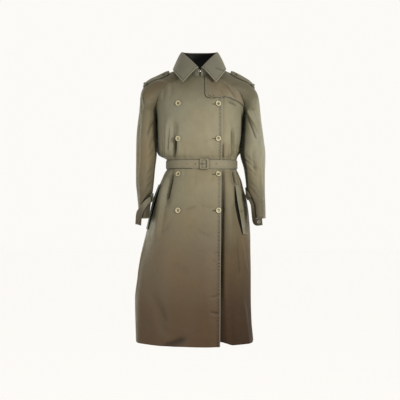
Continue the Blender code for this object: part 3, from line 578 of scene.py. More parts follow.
# %% Sizes of the raglan seam, the shoulders and the arms
# The body's ring that the seam crosses, and the angles from the side to the centre front and back.
RAGLAN = Table("""
share ring_mm front_angle back_angle
0 -165 0 0
0.14 -152 19 19
0.28 -136 31 32
0.42 -119 38 41
0.56 -101 43 47
0.7 -81 47 51
0.85 -56 50 54
1 -30 52 56
""")
# The top of each shoulder, from the outer arm at armpit height (0) to the neckline (1).
RIDGE = Table("""
share x_left_mm z_left_mm x_right_mm z_right_mm y_mm
0 247 -165 -249 -165 0
0.14 242.5 -128 -245 -128 0
0.28 235 -97 -241.5 -95 1
0.42 222.5 -71 -232 -66 2
0.56 201 -46 -206 -41 3
0.7 166 -24 -166 -22 4
0.85 118 1 -118 2 3
1 72 16 -72 16 0
""")
# How the cloth leaves the seam (heading in degrees, rise, reach) and runs level over the top.
SADDLE = Table("""
share heading rise leave_mm over_mm drop
0 -90 0 93 93 0
0.14 -62 0.1 82 90 0
0.28 -18 0.22 66 80 0.02
0.42 10 0.34 54 71 0.06
0.56 25 0.44 45 60 0.12
0.7 32 0.46 36 47 0.18
0.85 36 0.42 28 34 0.22
1 38 0.3 20 22 0.22
""")
# Each sleeve below the armpit.
ARM = Table("""
z_mm inner_left_mm outer_left_mm inner_right_mm outer_right_mm y_mm front_mm back_mm
-598 208 262 -203 -244 -86 56 52
-550 206 262.5 -199 -248 -70 58 54
-500 189.5 262 -192 -254 -52 61 57
-450 185.5 263 -187 -259 -36 65 61
-400 179 264 -183 -260 -24 68 65
-335 164 264.5 -176.5 -260 -14 72 70
-280 171.5 259 -179 -259 -8 73 70
-220 179 252 -179.5 -254.5 -3 71 69
-165 181 247 -179 -249 0 70 70
""")
# Folds of the sleeves. Start and end are shares of the way round: 0 at the body, 0.25 in front.
SLEEVE_COLUMNS = "top_mm bottom_mm start end depth_mm width_mm"
SLEEVE_FOLDS = {
    LEFT: typed(SLEEVE_COLUMNS + """
-150 -300 0.3 0.44 3.5 14
-330 -420 0.1 0.3 -4 14
-200 -330 0.9 0.7 -4 14
-380 -480 0.84 0.62 -4 14
-470 -540 0.12 0.32 -4 12
""")[1],
    RIGHT: typed(SLEEVE_COLUMNS + """
-190 -290 0.08 0.24 -4 14
-420 -500 0.08 0.3 -3.5 13
-500 -548 0.06 0.36 -6 12
-200 -330 0.92 0.7 -4 14
-400 -500 0.84 0.62 -4.5 14
""")[1],
}
SLEEVE_CREASES = {
    LEFT: typed(SLEEVE_COLUMNS + """
-135 -275 0.09 0.37 8.5 6.5  # thrown from the front of the armpit over the arm
-152 -297 0.05 0.33 -7 6.5
-130 -250 0.16 0.42 -3 6
-285 -440 0.31 0.29 3.6 8
-300 -430 0.24 0.23 -3.4 6.5
-330 -470 0.38 0.4 -2.8 8
-350 -405 0.06 0.26 -4.8 5.5
-390 -440 0.08 0.3 -3 6
-445 -500 0.1 0.34 -3.6 6
-170 -260 0.93 0.72 -5 7
-230 -330 0.9 0.66 -4 7
-340 -420 0.86 0.62 -5 6.5
-390 -470 0.88 0.64 -4.2 6
-160 -420 0.52 0.5 2.6 12
""")[1],
    RIGHT: typed(SLEEVE_COLUMNS + """
-120 -560 0.43 0.41 3.4 9  # the pressed line down the outer front of the arm
-150 -420 0.37 0.36 -2.2 7
-486 -546 0.06 0.3 -7.2 7.5  # pushed up above the strap
-462 -520 0.05 0.28 4.2 6
-446 -498 0.08 0.26 -5.2 6
-425 -480 0.05 0.26 3 6.5
-386 -440 0.07 0.25 -3.4 6
-200 -270 0.08 0.22 -4.2 6
-250 -330 0.06 0.2 -3 6.5
-310 -375 0.07 0.24 -2.8 6.5
-170 -260 0.93 0.72 -4.5 7
-260 -350 0.9 0.66 -4.5 7
-345 -430 0.88 0.62 -5 6.5
-410 -490 0.88 0.64 -4.4 6
-50 -130 0.24 0.27 -4.6 6  # upright folds on the shoulder
-55 -160 0.31 0.34 -3.4 6.5
-50 -190 0.36 0.39 2.6 7
""")[1],
}


# %% Where the seams and the front edges lie
def seam_angle(ring, which):
    """The angle from the side at which the raglan seam crosses a ring, or 0 below the armpit."""
    return np.radians(np.where(ring > ARMPIT_Z, RAGLAN.at(which, ring, by="ring"), 0.0))


def seam_gap(ring):
    """Half of a seam's gap, as an angle."""
    return SEAM_LINE / 2 / np.minimum(RINGS.at("front", ring), RINGS.at("left", ring))


# From the centre to the edge of the right front, which slants in under the collar.
FRONT_EDGE = Table("""
ring_mm x_mm
-1095 78
-400 86
-300 88.5
-130 88.5
-100 78
-75 62
-52 46
-30 32
""")
# How far back the left front lies where the right one covers it, and how far beyond the edge that begins.
UNDERLAP = Table("""
ring_mm depth_mm reach_mm
-1095 24 66
-900 17 50
-640 9 30
-440 3.2 11.5
-30 3.2 11.5
""")


# %% The surface of a sleeve
def bezier(p0, p1, p2, p3, t):
    t = t[..., None]
    return p0 * (1 - t) ** 3 + 3 * p1 * t * (1 - t) ** 2 + 3 * p2 * t**2 * (1 - t) + p3 * t**3


def arm_height(along):
    """The height of a place on the arm, from the cuff (-1) to the armpit (0)."""
    return ARMPIT_Z + (ARMPIT_Z - CUFF_Z) * along


def bare_sleeve(side, along, turn):
    """A raglan sleeve: along runs from the cuff (-1) by the armpit (0) to the neckline (1)."""
    along, turn = together(along, turn)
    name = SIDES[side]

    # Below the armpit: a slim oval tube.
    z = arm_height(np.minimum(along, 0))
    inner, outer = (points(ARM.at(f"{edge}_{name}", z), ARM.at("y", z), z) for edge in ("inner", "outer"))
    half_oval = 4 / 3
    to_front = points(0 * z, -half_oval * ARM.at("front", z), 0)
    to_back = points(0 * z, half_oval * ARM.at("back", z), 0)

    # Above it: an arch from the front seam over the shoulder to the back seam.
    share = np.clip(along, 0, 1)
    ring = RAGLAN.at("ring", share)
    gap = seam_gap(ring) * smooth(share / 0.05)
    front_turn, back_turn = (np.radians(RAGLAN.at(which, share)) - gap for which in ("front_angle", "back_angle"))
    angles = (front_turn, -back_turn) if side == LEFT else (math.pi - front_turn, math.pi + back_turn)
    clear = 0.0010 * (1 - smooth(share / 0.14))
    front_end, back_end = (body(ring, angle, clear) for angle in angles)
    top = points(RIDGE.at(f"x_{name}", share), RIDGE.at("y", share), RIDGE.at(f"z_{name}", share))
    heading = np.radians(SADDLE.at("heading", share))
    out = points(side * np.cos(heading), np.sin(heading), SADDLE.at("rise", share))
    out = out * SADDLE.at("leave", share)[..., None]
    ahead = points(0 * share, -1, -SADDLE.at("drop", share)) * SADDLE.at("over", share)[..., None]
    mirror = np.array([1.0, -1.0, 1.0])

    arch = (along > 0)[..., None]
    start, end = np.where(arch, front_end, inner), np.where(arch, back_end, inner)
    crown = np.where(arch, top, outer)
    leave_front, leave_back = np.where(arch, out, to_front), np.where(arch, out * mirror, to_back)
    over_front, over_back = np.where(arch, ahead, to_front), np.where(arch, ahead * mirror, to_back)
    first = bezier(start, start + leave_front, crown + over_front, crown, np.clip(turn * 2, 0, 1))
    second = bezier(crown, crown + over_back, end + leave_back, end, np.clip(turn * 2 - 1, 0, 1))
    swept = np.where((turn < 0.5)[..., None], first, second)
    # Towards the neckline it settles on the body's own rings, so that the collar stand meets one even edge.
    on_ring = bare_body(ring, angles[0] + side * (-front_turn - back_turn) * turn)
    settle = ease(share, 0.7, 1)[..., None]
    return swept * (1 - settle) + on_ring * settle


def creases_of_sleeve(folds, side, along, turn):
    return fold_height(folds[side], arm_height(along), turn, lambda place, down: place, SLEEVE_GIRTH)


def sleeve_folds(side, along, turn):
    at_seam = smooth(np.minimum(turn, 1 - turn) / 0.05)
    small = creases_of_sleeve(SLEEVE_CREASES, side, along, turn) * np.where(along > 0, at_seam, 1.0)
    return creases_of_sleeve(SLEEVE_FOLDS, side, along, turn) * (along < 0) + small


def sleeve(side, along, turn, lift=0.0, creased=True):
    along, turn = together(along, turn)

    def surface(u, v):
        # Round the tube the start and the end are one place; over the shoulder they are the two seams.
        wrapped = np.where(u < 0, v % 1.0, np.clip(v, 0, 1))
        return bare_sleeve(side, np.clip(u, -1, 1), wrapped)

    return lifted(surface, along, turn, sleeve_folds(side, along, turn) * creased + lift, swap=-side)


print("cuff", sleeve(LEFT, -1.0, 0.5), "shoulder", sleeve(LEFT, 0.5, 0.5))

# %% [markdown]
# ## How a sheet of cloth is made here
#
# Every cloth piece starts as a grid of points on its surface, with rows and columns close together where it is
# sewn and where it creases. The grid becomes one mesh with a UV map in metres, so that the weave keeps its scale
# and direction on every piece. Solidify gives the wall its thickness inwards, and a narrow Bevel rounds the turned
# edges. Two float attributes say how near a point is to a rubbed edge and how much painted shade it takes, which
# darkens it where shade falls in creases, under parts and between them. The four edges of a grid are named as on a
# map: north is its first row, south the last, west the first column and east the last.


# %% Grid helpers
def steps(length, coarse, fine=0.0013, band=0.015, crowd=None, far_band=None):
    """Shares of a length, close together near both ends and in a crowd: (from share, to share, spacing)."""
    t = np.linspace(0, 1, 4001)
    spacing = np.full(t.shape, coarse)
    if crowd:
        spacing[(t > crowd[0]) & (t < crowd[1])] = crowd[2]
    spacing[t * length < band] = fine
    spacing[(1 - t) * length < (band if far_band is None else far_band)] = fine
    count = np.concatenate([[0], np.cumsum(length * np.diff(t) / spacing[1:])])
    return np.interp(np.linspace(0, count[-1], round(count[-1]) + 1), count, t)


def spread(start, end, share):
    """Rows of values between two columns of ends."""
    return start[:, None] * (1 - share) + end[:, None] * share


def grid_normals(grid, flip):
    """The outward direction at each point of a grid."""
    normal = unit(np.cross(np.gradient(grid, axis=0), np.gradient(grid, axis=1)))
    return -normal if flip else normal


def raised(grid, flip, height):
    return grid + grid_normals(grid, flip) * height[..., None]


def distances(grid, edge):
    """How far each point of a grid lies from one of its four edges, measured along the cloth."""
    axis = 1 if edge in ("west", "east") else 0
    far = edge in ("east", "south")
    step = np.linalg.norm(np.diff(grid, axis=axis), axis=-1)
    step = np.flip(step, axis) if far else step
    away = np.insert(np.cumsum(step, axis=axis), 0, 0, axis=axis)
    return np.flip(away, axis) if far else away


def nearest_edge(grid, edges):
    return np.min([distances(grid, edge) for edge in edges], axis=0)


# %% Stitch lines and the grooves under them
STITCH_GROOVE, GROOVE_WIDTH = 0.0004, 0.0010
PUCKER_PITCH, PUCKER_BAND = 0.0128, 0.008  # from ripple to ripple, and from the edge to where they are highest
RIM = 0.0011  # how far the shadow of a cut edge reaches
seam_paths = []  # each: points and outward directions, for the thread


def inset_path(grid, normals, edge, inset, start, end):
    """The line that follows an edge of a grid at a distance inside it."""
    away = distances(grid, edge)
    if edge in ("north", "south"):
        grid, normals, away = grid.transpose(1, 0, 2), normals.transpose(1, 0, 2), away.T
    if edge in ("south", "east"):
        grid, normals, away = grid[:, ::-1], normals[:, ::-1], away[:, ::-1]
    rows = range(round(start * (len(grid) - 1)), round(end * (len(grid) - 1)) + 1)
    path, out = (
        np.array([[np.interp(inset, away[row], field[row, :, k]) for k in range(3)] for row in rows])
        for field in (grid, normals)
    )
    return path, unit(out)


def pucker(grid, edge):
    """Small uneven ripples across a sewn edge, where the thread has drawn the cloth up, from -1 to 1."""
    away, along = distances(grid, edge), distances(grid, "north" if edge in ("west", "east") else "west")
    wander = 0.35 * np.sin(along * 23.0) + 0.22 * np.sin(along * 61.0 + 1.0)
    strength = 0.80 + 0.20 * np.sin(along * 14.0 + 2.0)
    in_band = np.exp(-(((away - PUCKER_BAND) / (0.8 * PUCKER_BAND)) ** 2))
    return np.sin(TURN * (along / PUCKER_PITCH + wander)) * strength * in_band


def by_stitches(grid, lines):
    """1 on the stitch lines, 0 a millimetre or two away."""
    away = [(distances(grid, edge) - inset) / GROOVE_WIDTH for edge, inset, *_ in lines]
    return np.max(np.exp(-np.square(away)), axis=0)


def stitched(grid, flip, lines, strength=1.0):
    """Press grooves into a grid and keep the stitch lines. lines: (edge, inset, start, end)."""
    normals = grid_normals(grid, flip)
    shaped = grid - normals * (STITCH_GROOVE * by_stitches(grid, lines) * strength)[..., None]
    for line in lines:
        path, out = inset_path(shaped, normals, *line)
        seam_paths.append((path + out * 0.0001, out))
    return shaped


def stitch_shade(grid, lines, strength=0.5):
    """The thin shadow that a row of stitches draws."""
    return strength * by_stitches(grid, lines)


def rim_shade(grid, edges):
    """Dark rims: the cut edges of a strap lie in its own shadow."""
    return 0.9 * (1 - smooth(nearest_edge(grid, edges) / RIM))


# %% From a grid to a piece
EDGE_WEAR = 0.006


def corners_of(field):
    """The four corners of each quad of a grid."""
    return [field[:-1, :-1], field[1:, :-1], field[1:, 1:], field[:-1, 1:]]


def cloth_piece(name, grid, finish, wall=CLOTH, flip=False, closed=None, worn=(), inside=None, shade=()):
    """A wall of cloth on a grid. closed marks the rows whose two ends are one place, as round a tube.

    worn names the edges that are rubbed, and the layers of shade (0 to 1) are painted shade: they darken the
    cloth where shade falls.
    """
    rows, columns = grid.shape[:2]
    index = np.arange(rows * columns).reshape(rows, columns)
    if closed is not None:
        index[closed, -1] = index[closed, 0]
    used, packed = np.unique(index, return_inverse=True)
    quads = np.stack(corners_of(packed.reshape(rows, columns)), axis=-1)
    across, down = distances(grid, "west"), distances(grid, "north")
    middle = across[:, columns // 2, None]
    corners = np.stack(corners_of(np.stack([across - middle, down], axis=-1)), axis=-2)
    if flip:
        quads, corners = quads[..., ::-1], corners[..., ::-1, :]
    mesh = bpy.data.meshes.new(name)
    mesh.from_pydata(grid.reshape(-1, 3)[used].tolist(), [], quads.reshape(-1, 4).tolist())
    mesh.uv_layers.new(name="Cloth").data.foreach_set("uv", corners.reshape(-1))
    rubbed = np.exp(-(nearest_edge(grid, worn) if worn else np.ones((rows, columns))) / EDGE_WEAR)
    painted_shade = np.zeros((rows, columns))
    for layer in shade:
        painted_shade = np.maximum(painted_shade, layer)
    for label, values in (("edge", rubbed), ("shade", painted_shade)):
        layer = mesh.attributes.new(label, "FLOAT", "POINT")
        layer.data.foreach_set("value", values.reshape(-1)[used].astype(np.float32))
    mesh.shade_smooth()
    mesh.materials.append(finish)
    piece = add_object(name, mesh)
    shell = piece.modifiers.new("Wall", "SOLIDIFY")
    shell.thickness, shell.offset = wall, -1
    if inside:
        mesh.materials.append(inside)
        shell.material_offset = 1
    soft_edge = piece.modifiers.new("Turned edge", "BEVEL")
    soft_edge.width = min(0.0006, wall * 0.35)
    soft_edge.segments = 2
    soft_edge.limit_method, soft_edge.angle_limit = "ANGLE", math.radians(55)
    half_cross = np.cross(grid[1:, :-1] - grid[:-1, :-1], grid[:-1, 1:] - grid[:-1, :-1])
    size = f"{across.max():.3f} x {down.max():.3f} m, {np.linalg.norm(half_cross, axis=-1).sum():.4f} m2"
    print(f"{name}: {rows} x {columns} points, {size}")
    return piece


# %% [markdown]
# ## Gabardine
#
# Gabardine is a tight worsted-cotton twill: fine steep ridges, less than a millimetre apart, over a colour that is
# never quite even because warp and weft are dyed apart. This cloth is olive on the chest and darker and browner
# towards the hem and the collar, partly its own colour and partly painted shade. Its colour follows the height on the
# coat and drifts with soft noise, and single yarns show as fine flecks. The twill is a bump on the UV map, which is in
# metres, and sheen gives the dry glow of brushed cotton.

# %% The cloth
TWILL_ANGLE = math.radians(63)
WALE = 0.0009  # from one twill ridge to the next
TOP_Z, LOW_Z = 0.09, -1.095
TONES = (  # height of the coat from hem (0) to collar (1), and the colour there, darker low down partly as painted shade
    (0.00, (0.040, 0.022, 0.0085)),
    (0.12, (0.046, 0.028, 0.0125)),
    (0.31, (0.074, 0.057, 0.034)),
    (0.52, (0.118, 0.104, 0.066)),
    (0.70, (0.137, 0.126, 0.087)),
    (0.80, (0.118, 0.108, 0.072)),
    (0.87, (0.082, 0.070, 0.042)),
    (1.00, (0.080, 0.069, 0.045)),
)
UNDERLAP_TONES = (  # painted light and shade: lighter on the chest, darker and browner towards the hem
    (0.00, (0.022, 0.0105, 0.0040)),
    (0.12, (0.029, 0.0165, 0.0075)),
    (0.31, (0.057, 0.042, 0.023)),
    (0.52, (0.108, 0.094, 0.060)),
    (0.70, (0.150, 0.140, 0.097)),
    *TONES[5:],
)


def by_height(tree, place, stops):
    height = add_node(tree, "ShaderNodeSeparateXYZ", Vector=place).outputs["Z"]
    return colour_ramp(tree, in_range(tree, height, From_Min=LOW_Z, From_Max=TOP_Z), *stops)


def gabardine(name, tones=TONES, gain=1.0, sheen=0.14, gloss=0.22):
    made, tree, shader = new_finish(
        name, (0.23, 0.2, 0.14), 0.6, Sheen_Weight=sheen, Sheen_Roughness=0.40, Sheen_Tint=(0.62, 0.70, 0.50),
        Specular_IOR_Level=gloss,
    )
    place = object_place(tree)
    flat = add_node(tree, "ShaderNodeUVMap", uv_map="Cloth").outputs["UV"]
    cloth = by_height(tree, place, tinted(tones, gain))

    # Slow drift between olive and brown, then the worn and handled patches, then single yarns.
    drift = noise(tree, place, 3.1, 3.0, Roughness=0.55)
    patches = noise(tree, place, 26.0, 4.0, Roughness=0.6)
    along_yarn = {"Vector": flat, "Rotation": (0, 0, -TWILL_ANGLE)}
    yarn_place = add_node(tree, "ShaderNodeMapping", Scale=(260, 1900, 1), **along_yarn).outputs[0]
    yarn = noise(tree, yarn_place, 1.0, Roughness=0.7)
    cloth = mixed(tree, "MULTIPLY", 1.0, cloth,
                  colour_ramp(tree, drift, (0.36, (1.05, 0.985, 0.90)), (0.64, (0.955, 1.01, 1.06))))
    cloth = mixed(tree, "MULTIPLY", 1.0, cloth, grey_ramp(tree, patches, (0.30, 0.93), (0.70, 1.06)))
    cloth = mixed(tree, "MULTIPLY", 0.8, cloth,
                  colour_ramp(tree, yarn, (0.25, (0.86, 0.86, 0.85)), (0.75, (1.13, 1.13, 1.14))))

    # Painted shade: the shade attribute darkens deep folds, the inside of the arm and where parts cover each
    # other; edges are rubbed paler.
    deep = colour_ramp(tree, attribute(tree, "shade"), (0.0, (1.0, 1.0, 1.0)), (1.0, (0.045, 0.038, 0.028)))
    cloth = mixed(tree, "MULTIPLY", 1.0, cloth, deep)
    rubbed = in_range(tree, attribute(tree, "edge"), From_Min=0.40, From_Max=0.95, To_Max=0.50)
    feed(tree, shader["Base Color"], mixed(tree, "MIX", rubbed, cloth, (0.185, 0.178, 0.132)))

    # The twill: a wave across the map, turned to the steep angle of gabardine.
    turned = add_node(tree, "ShaderNodeMapping", **along_yarn).outputs[0]
    twill = add_node(tree, "ShaderNodeTexWave", Vector=turned, Scale=0.314 / WALE, Distortion=1.2, Detail=1.0,
                     Detail_Scale=2.0).outputs["Fac"]
    crumple = noise(tree, place, 42.0, 4.0, Roughness=0.55)
    layers = ((0.55, 0.0040, crumple), (0.30, 0.00018, twill), (0.25, 0.00012, noise(tree, place, 900.0)))
    feed(tree, shader["Normal"], bumps(tree, *layers))
    feed(tree, shader["Roughness"], in_range(tree, patches, From_Min=0.3, From_Max=0.7, To_Min=0.52, To_Max=0.68))
    return made


coat_cloth = gabardine("coat_gabardine")
underlap_cloth = gabardine("underlap_gabardine_lit_and_shaded", UNDERLAP_TONES, sheen=0.05, gloss=0.12)
# Lit and shaded copies of the cloth: the wearer's right sleeve is painted much darker than the left, as painted shade.
sleeve_cloths = {
    LEFT: gabardine("sleeve_gabardine_lit_left", gain=(0.99, 0.98, 0.95)),
    RIGHT: gabardine("sleeve_gabardine_shaded_right", gain=(0.71, 0.635, 0.54)),
}
strap_cloth = gabardine("strap_gabardine", gain=(0.96, 0.97, 0.99))
flap_cloth = gabardine("flap_gabardine", gain=(0.98, 0.90, 0.86))
welt_cloth = gabardine("welt_gabardine", gain=(1.12, 1.24, 1.34))
collar_cloth = gabardine("collar_gabardine", gain=(1.08, 1.13, 1.26))
print("finishes:", [m.name for m in bpy.data.materials if "gabardine" in m.name])

# %% The dark lining, also laid as painted shade in the pocket mouths and the cuts
lining_and_painted_shade, tree, shader = new_finish("charcoal_lining_and_shade", (0.03, 0.029, 0.027), 0.55, Specular_IOR_Level=0.07)
weave = noise(tree, object_place(tree), 700.0)
dark_weave = colour_ramp(tree, weave, (0.3, (0.0040, 0.0038, 0.0036)), (0.7, (0.0085, 0.0080, 0.0075)))
feed(tree, shader["Base Color"], dark_weave)
feed(tree, shader["Normal"], bumps(tree, (0.3, 0.0002, weave)))

# %% [markdown]
# ## The body panels
#
# Three panels make the body: the right front with the overlap, the left front that runs on beneath it, and the
# back. They meet in side seams under the arms and in the raglan seams. Each is drawn on the body's surface between
# two lines of angles, so the seams meet along their whole length. The columns are five millimetres apart, and less
# than two where the fronts are gathered, which is what the small creases at the belt need.

# %% Rows down the body
rings = np.concatenate([
    HEM_Z + (-0.47 - HEM_Z) * steps(0.625, 0.0042, 0.0030, 0.012),  # skirt
    np.arange(-0.467, -0.289, 0.0032),  # waist
    np.arange(-0.287, ARMPIT_Z - 0.002, 0.0048),  # chest
    RAGLAN.at("ring", steps(1.0, 0.034, 0.02, 0.06)),
])
gap = seam_gap(rings)
edge = FRONT_EDGE.at("x", rings)
print("rows down the body:", len(rings))

# %% The form of the storm flap, whose shadow the left front takes
FLAP_FOOT = Table("""
x_mm ring_mm
20 -120.5
90 -125
130 -140
180 -156
""")
FREE_EDGE = 0.09
down = steps(0.10, 0.0026, 0.0011, 0.008)
share = steps(0.14, 0.0026, 0.0011, 0.011)
low = FLAP_FOOT.at("ring", 0.02 + 0.16 * share)[None, :]
ring = NECK_Z - 0.002 + (low - NECK_Z + 0.002) * down[:, None]
rounding = np.maximum(0.0, 1 - (1 - down) * FREE_EDGE / FLAP_CORNER)[:, None]
start = angle_of(FLAP_FRONT_EDGE + FLAP_CORNER * (1 - np.sqrt(1 - rounding**2)), ring)
end = seam_angle(ring, "front_angle") + FLAP_INSET / RINGS.at("front", ring)
stand_off = 0.0012 * ease(down, 0.75, 1)[:, None] * ease(share, 0.45, 0.75)[None, :]
flap_grid = body(ring, start + (end - start) * share, FLAP_LIFT + stand_off)
flap_outline = np.concatenate([flap_grid[:, 0], flap_grid[-1, 1:]])[:, [0, 2]]

# %% Painted shade in creases, under the arms, by the belt and round the storm flap
CREASE_SHADE, SLANT_SHADE, BELT_SHADOW, FLAP_SHADOW = 0.72, 0.58, 0.62, 0.72


def slant_shade(grid):
    """How deep a place lies in the creases that run across the front."""
    return ease(slant_height(grid[..., 0], grid[..., 2]), -0.001, -0.005)


def by_flap(grid):
    """1 beside the free edges of the storm flap, 0 a few millimetres away from them."""
    x, y, z = grid.transpose(2, 0, 1)
    near = np.nonzero((y < 0) & (np.abs(x - 0.09) < 0.10) & (z > -0.19))
    shade = np.zeros(x.shape)
    away = np.array([np.hypot(*(flap_outline - spot).T).min() for spot in grid[near][:, [0, 2]]])
    shade[near] = ease(away, 0.0062, 0.0022)
    return shade * (1 - 0.35 * ease(x, 0.08, 0.11))


def under_arm(grid):
    """Painted shade: 1 at the side seams beside the arms, 0 a few centimetres in front, behind, above and below."""
    x, y, z = grid.transpose(2, 0, 1)
    inside = np.abs(x) - np.where(x > 0, 0.172, 0.176)
    level = ease(z, -0.15, -0.2) * ease(z, -0.375, -0.335)
    return level * np.where(y < 0, ease(inside, -0.009, -0.003), 0.6 * ease(inside, -0.01, 0.03))


def painted_shade_on_body(grid, ring, angle):
    """The layers of painted shade that all three panels have."""
    by_belt = ease(np.abs(grid[..., 2] - BELT_Z) - BELT_WIDTH / 2, 0.0060, 0.0025)
    crossing = slant_shade(grid) * (grid[..., 1] < 0)
    return [
        under_arm(grid), CREASE_SHADE * in_crease(ring, angle), SLANT_SHADE * crossing, FLAP_SHADOW * by_flap(grid),
        BELT_SHADOW * by_belt,
    ]


# %% Right front
PUCKER_SHADE = 1.3
raglan = seam_angle(rings, "front_angle")
share = steps(0.36, 0.0046, crowd=(0.50, 0.76, 0.0018), far_band=0.003)
angles = spread(angle_of(edge, rings), math.pi - raglan - gap, share)
grid = body(rings[:, None], angles)
grid = raised(grid, False, 0.0014 * pucker(grid, "west"))
lines = [("west", 0.0045, 0, 1), ("west", 0.0115, 0, 1)]
grid = stitched(grid, False, lines)
dark = [stitch_shade(grid, lines), np.clip(-PUCKER_SHADE * pucker(grid, "west"), 0, 1)]
dark += painted_shade_on_body(grid, rings[:, None], angles)
front_right = cloth_piece("right_front", grid, coat_cloth, worn=("west",), shade=dark)

# %% Left front
depth, reach = UNDERLAP.at("depth", rings), UNDERLAP.at("reach", rings)
covered, uncovered = (angle_of(edge + beyond + 0.002, rings) for beyond in (0, reach))
angles = np.concatenate(
    [
        spread(raglan + gap, uncovered, steps(0.20, 0.0046, 0.0022, 0.004, crowd=(0.28, 0.92, 0.0019)))[:, :-1],
        spread(uncovered, covered, np.linspace(0, 1, 12))[:, :-1],
        spread(covered, angle_of(UNDERLAP_SHORTER - edge, rings), np.linspace(0, 1, 16)),
    ],
    axis=1,
)
x = bare_body(rings[:, None], angles)[..., 0]
under = smooth((edge[:, None] + reach[:, None] + 0.002 - x) / reach[:, None])
grid = body(rings[:, None], angles, -depth[:, None] * under)
grid[..., 2] += HEM_RISE * under * ease(rings, -0.8, -1.09)[:, None]
# The strip beside the overlap's edge lies in a deep fold below the belt, and is painted darker there as shade.
beside_edge = ease(grid[..., 0] - edge[:, None], 0.020, 0.007)
below_belt = 0.72 * ease(rings, -0.385, -0.435) * (1 - 0.55 * ease(rings, -0.58, -0.7))
dark = [beside_edge * below_belt[:, None], *painted_shade_on_body(grid, rings[:, None], angles)]
front_left = cloth_piece("left_front", grid, underlap_cloth, shade=dark)

# %% Back
raglan_back = seam_angle(rings, "back_angle")
angles = spread(math.pi + raglan_back + gap, TURN - raglan_back - gap, steps(0.62, 0.0046, 0.0030, 0.006))
grid = body(rings[:, None], angles)
# Towards the left side seam the back is painted darker as shade, to go over into the shaded left front.
by_left_front = 0.42 * ease(grid[..., 0], 0.06, 0.2) * ease(grid[..., 2], -0.62, -1.02)
dark = [by_left_front, *painted_shade_on_body(grid, rings[:, None], angles)]
back = cloth_piece("back_panel", grid, coat_cloth, shade=dark)

# %% [markdown]
# ## The sleeves as pieces
#
# The tube below the armpit is closed under the arm, and above it the piece ends at the two raglan seams, where it
# is topstitched beside the seam. Grooves are pressed in under both rows of stitches.

# %% Where the epaulettes lie
EPAULETTE = Table("""
share along lift_mm width_mm
0 0.425 1.6 30
0.05 0.443 3 41
0.12 0.470 4 44
0.30 0.535 4.6 44
0.80 0.730 5.8 41
0.93 0.785 5.8 31
1 0.815 5.8 4
""")
EPAULETTE_FORWARD = 0.026  # from the shoulder's ridge to the strap's middle line
EPAULETTE_SLACK = 0.0010
EPAULETTE_ROLL = 0.0085  # how much higher the back edge stands than the front one

# %% Where the cuff straps lie
CUFF_GIRTH = 0.275
CUFF_STRAPS = {  # the middle line of each strap
    LEFT: Table("""
share z_mm turn
0 -488 -0.320
0.32 -486 -0.040
0.43 -498 0.040
0.56 -530 0.088
0.72 -578 0.104
0.81 -605 0.128
0.89 -613.5 0.195
1 -611 0.300
"""),
    RIGHT: Table("""
share z_mm turn
0 -512 -0.300
0.30 -510 -0.020
0.50 -528 0.140
0.70 -556 0.265
0.86 -588 0.335
1 -624 0.360
"""),
}
CARRIER_SHARE = {LEFT: (0.44, 0.52), RIGHT: (0.37, 0.44)}  # where the carrier holds the strap
FREE_END = {LEFT: 0.84, RIGHT: 0.66}  # from this share on, a strap hangs free
END_WIDER = {LEFT: 1.08, RIGHT: 1.22}  # a strap widens towards its end

# %% Two sleeves
RAGLAN_STITCH = (0.0022, 0.0080)
# How far round from the inner side the sleeve lies in the shade of the body, by its length.
INNER_SHADE = {
    LEFT: Table("along turn\n-1 0.05\n-0.7 0.06\n-0.38 0.09\n-0.15 0.055\n0 0.03"),
    RIGHT: Table("along turn\n-1 0.035\n-0.2 0.03\n0 0"),
}
# Painted shade on each sleeve by its length:
SLEEVE_SHADES = {LEFT: (0.27, 0.44, 0.0), RIGHT: (0.0, 0.24, 0.30)}  # on the shoulder, towards the cuff, at its end
STRAP_SHADE = 0.85


def shoulder_span(side, along):
    """How far it is round the shoulder near its ridge, for a whole turn."""
    return np.linalg.norm(sleeve(side, along, 0.62) - sleeve(side, along, 0.38), axis=-1) / 0.24


def under_epaulette(side, along, turn):
    """Painted shade: 1 where an epaulette covers the sleeve, and a hair's breadth in front of it."""
    first, last = EPAULETTE.rows[0, 1], EPAULETTE.rows[-1, 1]
    share = (along - first) / (last - first)
    offset = (turn - 0.5) * shoulder_span(side, along) + EPAULETTE_FORWARD
    away = np.abs(offset) - EPAULETTE.at("width", share) / 2
    return ease(away, 0.0095, 0.0035) * ease(share, -0.04, 0) * ease(share, 1.03, 0.99)


def under_cuff_strap(side, z, turn):
    """Painted shade: 1 where a cuff strap covers the sleeve, and along its two edges."""
    share = np.linspace(0, 1, 70)
    z_line, turn_line = (CUFF_STRAPS[side].at(name, share) for name in ("z", "turn"))
    away_turn = np.mod(turn[..., None] - turn_line + 0.5, 1.0) - 0.5
    away = np.hypot(z[..., None] - z_line, away_turn * CUFF_GIRTH).min(axis=-1)
    return ease(away - CUFF_STRAP_WIDTH / 2 * END_WIDER[side], 0.0080, 0.0040)


